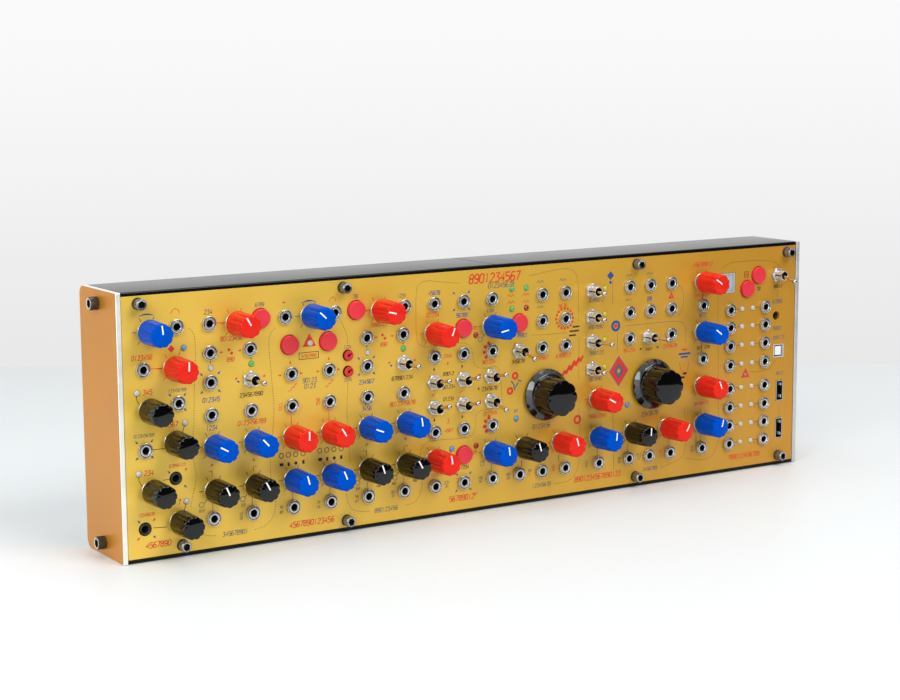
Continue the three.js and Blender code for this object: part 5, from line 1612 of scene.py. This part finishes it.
# The board behind the panel and the bodies that stand on it.
def make_board():
    edge, end, corner, chamfer = 10.6, 2.0, 1.0, 0.15
    front, back = -PANEL_THICKNESS - FIT_GAP, -BOARD_DEPTH
    width, height = PANEL_WIDTH - 2 * end, CASE_HEIGHT - 2 * edge
    plate = Shape()
    outline = rectangle(width, height, corner, PANEL_WIDTH / 2, PANEL_HEIGHT / 2)
    slab(plate, UNMOVED, [outline], back, back - BOARD_THICKNESS, chamfer)
    fitting("board_plate", plate, BOARD_GREEN)
    bodies = Shape()
    body_chamfer, switch_front, switch_chamfer = 0.3, -8.0, 0.2
    pot_body, toggle_body, jack_body, switch_body = (9.6, 11, 0.6), (7, 12, 0.5), (8.6, 8.6, 0.6), (6, 6, 0.4)
    pot_hole, toggle_hole, jack_hole = 4.0, 3.2, 3.1

    def stand(place, body, hole, number):
        slab(bodies, place, [rectangle(*body), circle(hole, 16)], front, back, body_chamfer, (number,) * 3)

    for point in [*KNOBS.values(), *TUNING_KNOBS.values()]:
        stand(at(point), pot_body, pot_hole, 0)
    for name, _, _, swing, _ in TOGGLE_SHARES:
        stand(at(TOGGLES[name], 90 if swing == "across" else 0), toggle_body, toggle_hole, 0)
    for point in JACKS:
        stand(at(point), jack_body, jack_hole, 1)
    for point in [*BUTTONS.values(), *FIXED_BUTTONS]:
        slab(bodies, at(point), [rectangle(*switch_body)], switch_front, back, switch_chamfer, (1, 1, 1))
    fitting("board_bodies", bodies, PLATED, PAINTED_SHADE_AND_BLACK_PLASTIC)


make_shell()
make_cheeks()
make_screws()
make_inlet()
make_panel()
make_prints()
make_jacks()
make_pot_fittings()
make_toggle_fittings()
make_levers()
make_knobs()
make_tuning_knobs()
make_buttons()
make_trimmers()
make_lights()
make_window()
make_ports()
make_board()

# The stage: a pale table that ends behind the object, soft lamps and a white studio. Its sizes are in metres.
TABLE_BEHIND = 0.465
TABLE_BEFORE = 0.42
TABLE_LEFT = 2.6
TABLE_RIGHT = 0.55
TABLE_DROP = 0.0002
AIM = (0, 0, 0.06)

# Lamps: place, width, height, watts and the point that each faces.
LAMPS = {
    "key_lamp": ((0.4, -1.3, 1.3), 1.0, 0.8, 17, AIM),
    "left_lamp": ((-1.2, -0.9, 0.9), 0.9, 0.9, 10, AIM),
    "table_lamp": ((-1.0, -0.1, 0.5), 0.6, 0.9, 3, (-1.0, -0.099, 0)),
    "top_lamp": ((0.1, 0.1, 1.7), 1.6, 1.0, 8, AIM),
}

# The studio: from where to where on an axis of the direction the light grows, and how bright it is there.
FILL_STRENGTH = 0.42
SEEN_UPWARD = (-0.19, 0.03, 0.8, 0.955)
GLOSS_BEHIND = (-0.35, 0.1, 0.0, 0.8)
GLOSS_LEFT = (-0.2, -0.9, 0.0, 1.8)
GLOSS_ABOVE = (0.4, 0.8, 0.03, 0.9)


def make_table():
    material = bpy.data.materials.new("table")
    material.use_nodes = True
    shader = material.node_tree.nodes["Principled BSDF"]
    shader.inputs["Base Color"].default_value = (0.81, 0.85, 0.865, 1)
    shader.inputs["Roughness"].default_value = 0.45
    shader.inputs["Specular IOR Level"].default_value = 0.3
    mesh = bpy.data.meshes.new("table")
    ends = [(-TABLE_LEFT, -TABLE_BEFORE), (TABLE_RIGHT, -TABLE_BEFORE), (TABLE_RIGHT, TABLE_BEHIND),
            (-TABLE_LEFT, TABLE_BEHIND)]
    mesh.from_pydata([(x, y, 0) for x, y in ends], [], [(0, 1, 2, 3)])
    mesh.materials.append(material)
    table = bpy.data.objects.new("table", mesh)
    table.rotation_euler.z = math.radians(-CAMERA_HEADING)
    table.location.z = cad_low.z - TABLE_DROP
    bpy.context.scene.collection.objects.link(table)


def make_lamps():
    for name, (place, width, height, watts, aim_at) in LAMPS.items():
        lamp = bpy.data.lights.new(name, "AREA")
        lamp.shape = "RECTANGLE"
        lamp.size = width
        lamp.size_y = height
        lamp.energy = watts
        holder = bpy.data.objects.new(name, lamp)
        holder.location = place
        holder.rotation_euler = (Vector(aim_at) - Vector(place)).to_track_quat("-Z", "Y").to_euler()
        bpy.context.scene.collection.objects.link(holder)


def make_world():
    """Fill light for matt surfaces, a white studio for the camera, and for gloss and glass a dark room in
    front with a white one to the left, behind and above."""
    world = bpy.data.worlds.new("studio")
    bpy.context.scene.world = world
    world.use_nodes = True
    world.cycles.sampling_method = "NONE"
    tree = world.node_tree
    tree.nodes.clear()
    output = tree.nodes.new("ShaderNodeOutputWorld")
    rays = tree.nodes.new("ShaderNodeLightPath")
    where = tree.nodes.new("ShaderNodeTexCoord")
    parts = tree.nodes.new("ShaderNodeSeparateXYZ")
    tree.links.new(where.outputs["Generated"], parts.inputs[0])

    def background(strength):
        node = tree.nodes.new("ShaderNodeBackground")
        node.inputs["Color"].default_value = (1, 1, 1, 1)
        node.inputs["Strength"].default_value = strength
        return node

    def mixed(factor, one, two):
        node = tree.nodes.new("ShaderNodeMixShader")
        tree.links.new(factor, node.inputs[0])
        tree.links.new(one.outputs[0], node.inputs[1])
        tree.links.new(two.outputs[0], node.inputs[2])
        return node

    def growing(axis, limits):
        node = ramp(tree, parts.outputs[axis], *limits)
        node.interpolation_type = "SMOOTHSTEP"
        return node.outputs["Result"]

    def greater(one, two):
        node = tree.nodes.new("ShaderNodeMath")
        node.operation = "MAXIMUM"
        tree.links.new(one, node.inputs[0])
        tree.links.new(two, node.inputs[1])
        return node.outputs[0]

    fill = background(FILL_STRENGTH)
    seen = background(1.0)
    tree.links.new(growing("Z", SEEN_UPWARD), seen.inputs["Strength"])
    shone = background(1.0)
    behind, left, above = growing("Y", GLOSS_BEHIND), growing("X", GLOSS_LEFT), growing("Z", GLOSS_ABOVE)
    tree.links.new(greater(greater(behind, left), above), shone.inputs["Strength"])
    glossy = greater(rays.outputs["Is Glossy Ray"], rays.outputs["Is Transmission Ray"])
    matt_or_gloss = mixed(glossy, fill, shone)
    whole = mixed(rays.outputs["Is Camera Ray"], matt_or_gloss, seen)
    tree.links.new(whole.outputs[0], output.inputs["Surface"])


make_table()
make_lamps()
make_world()
bpy.context.scene.view_settings.view_transform = "Standard"
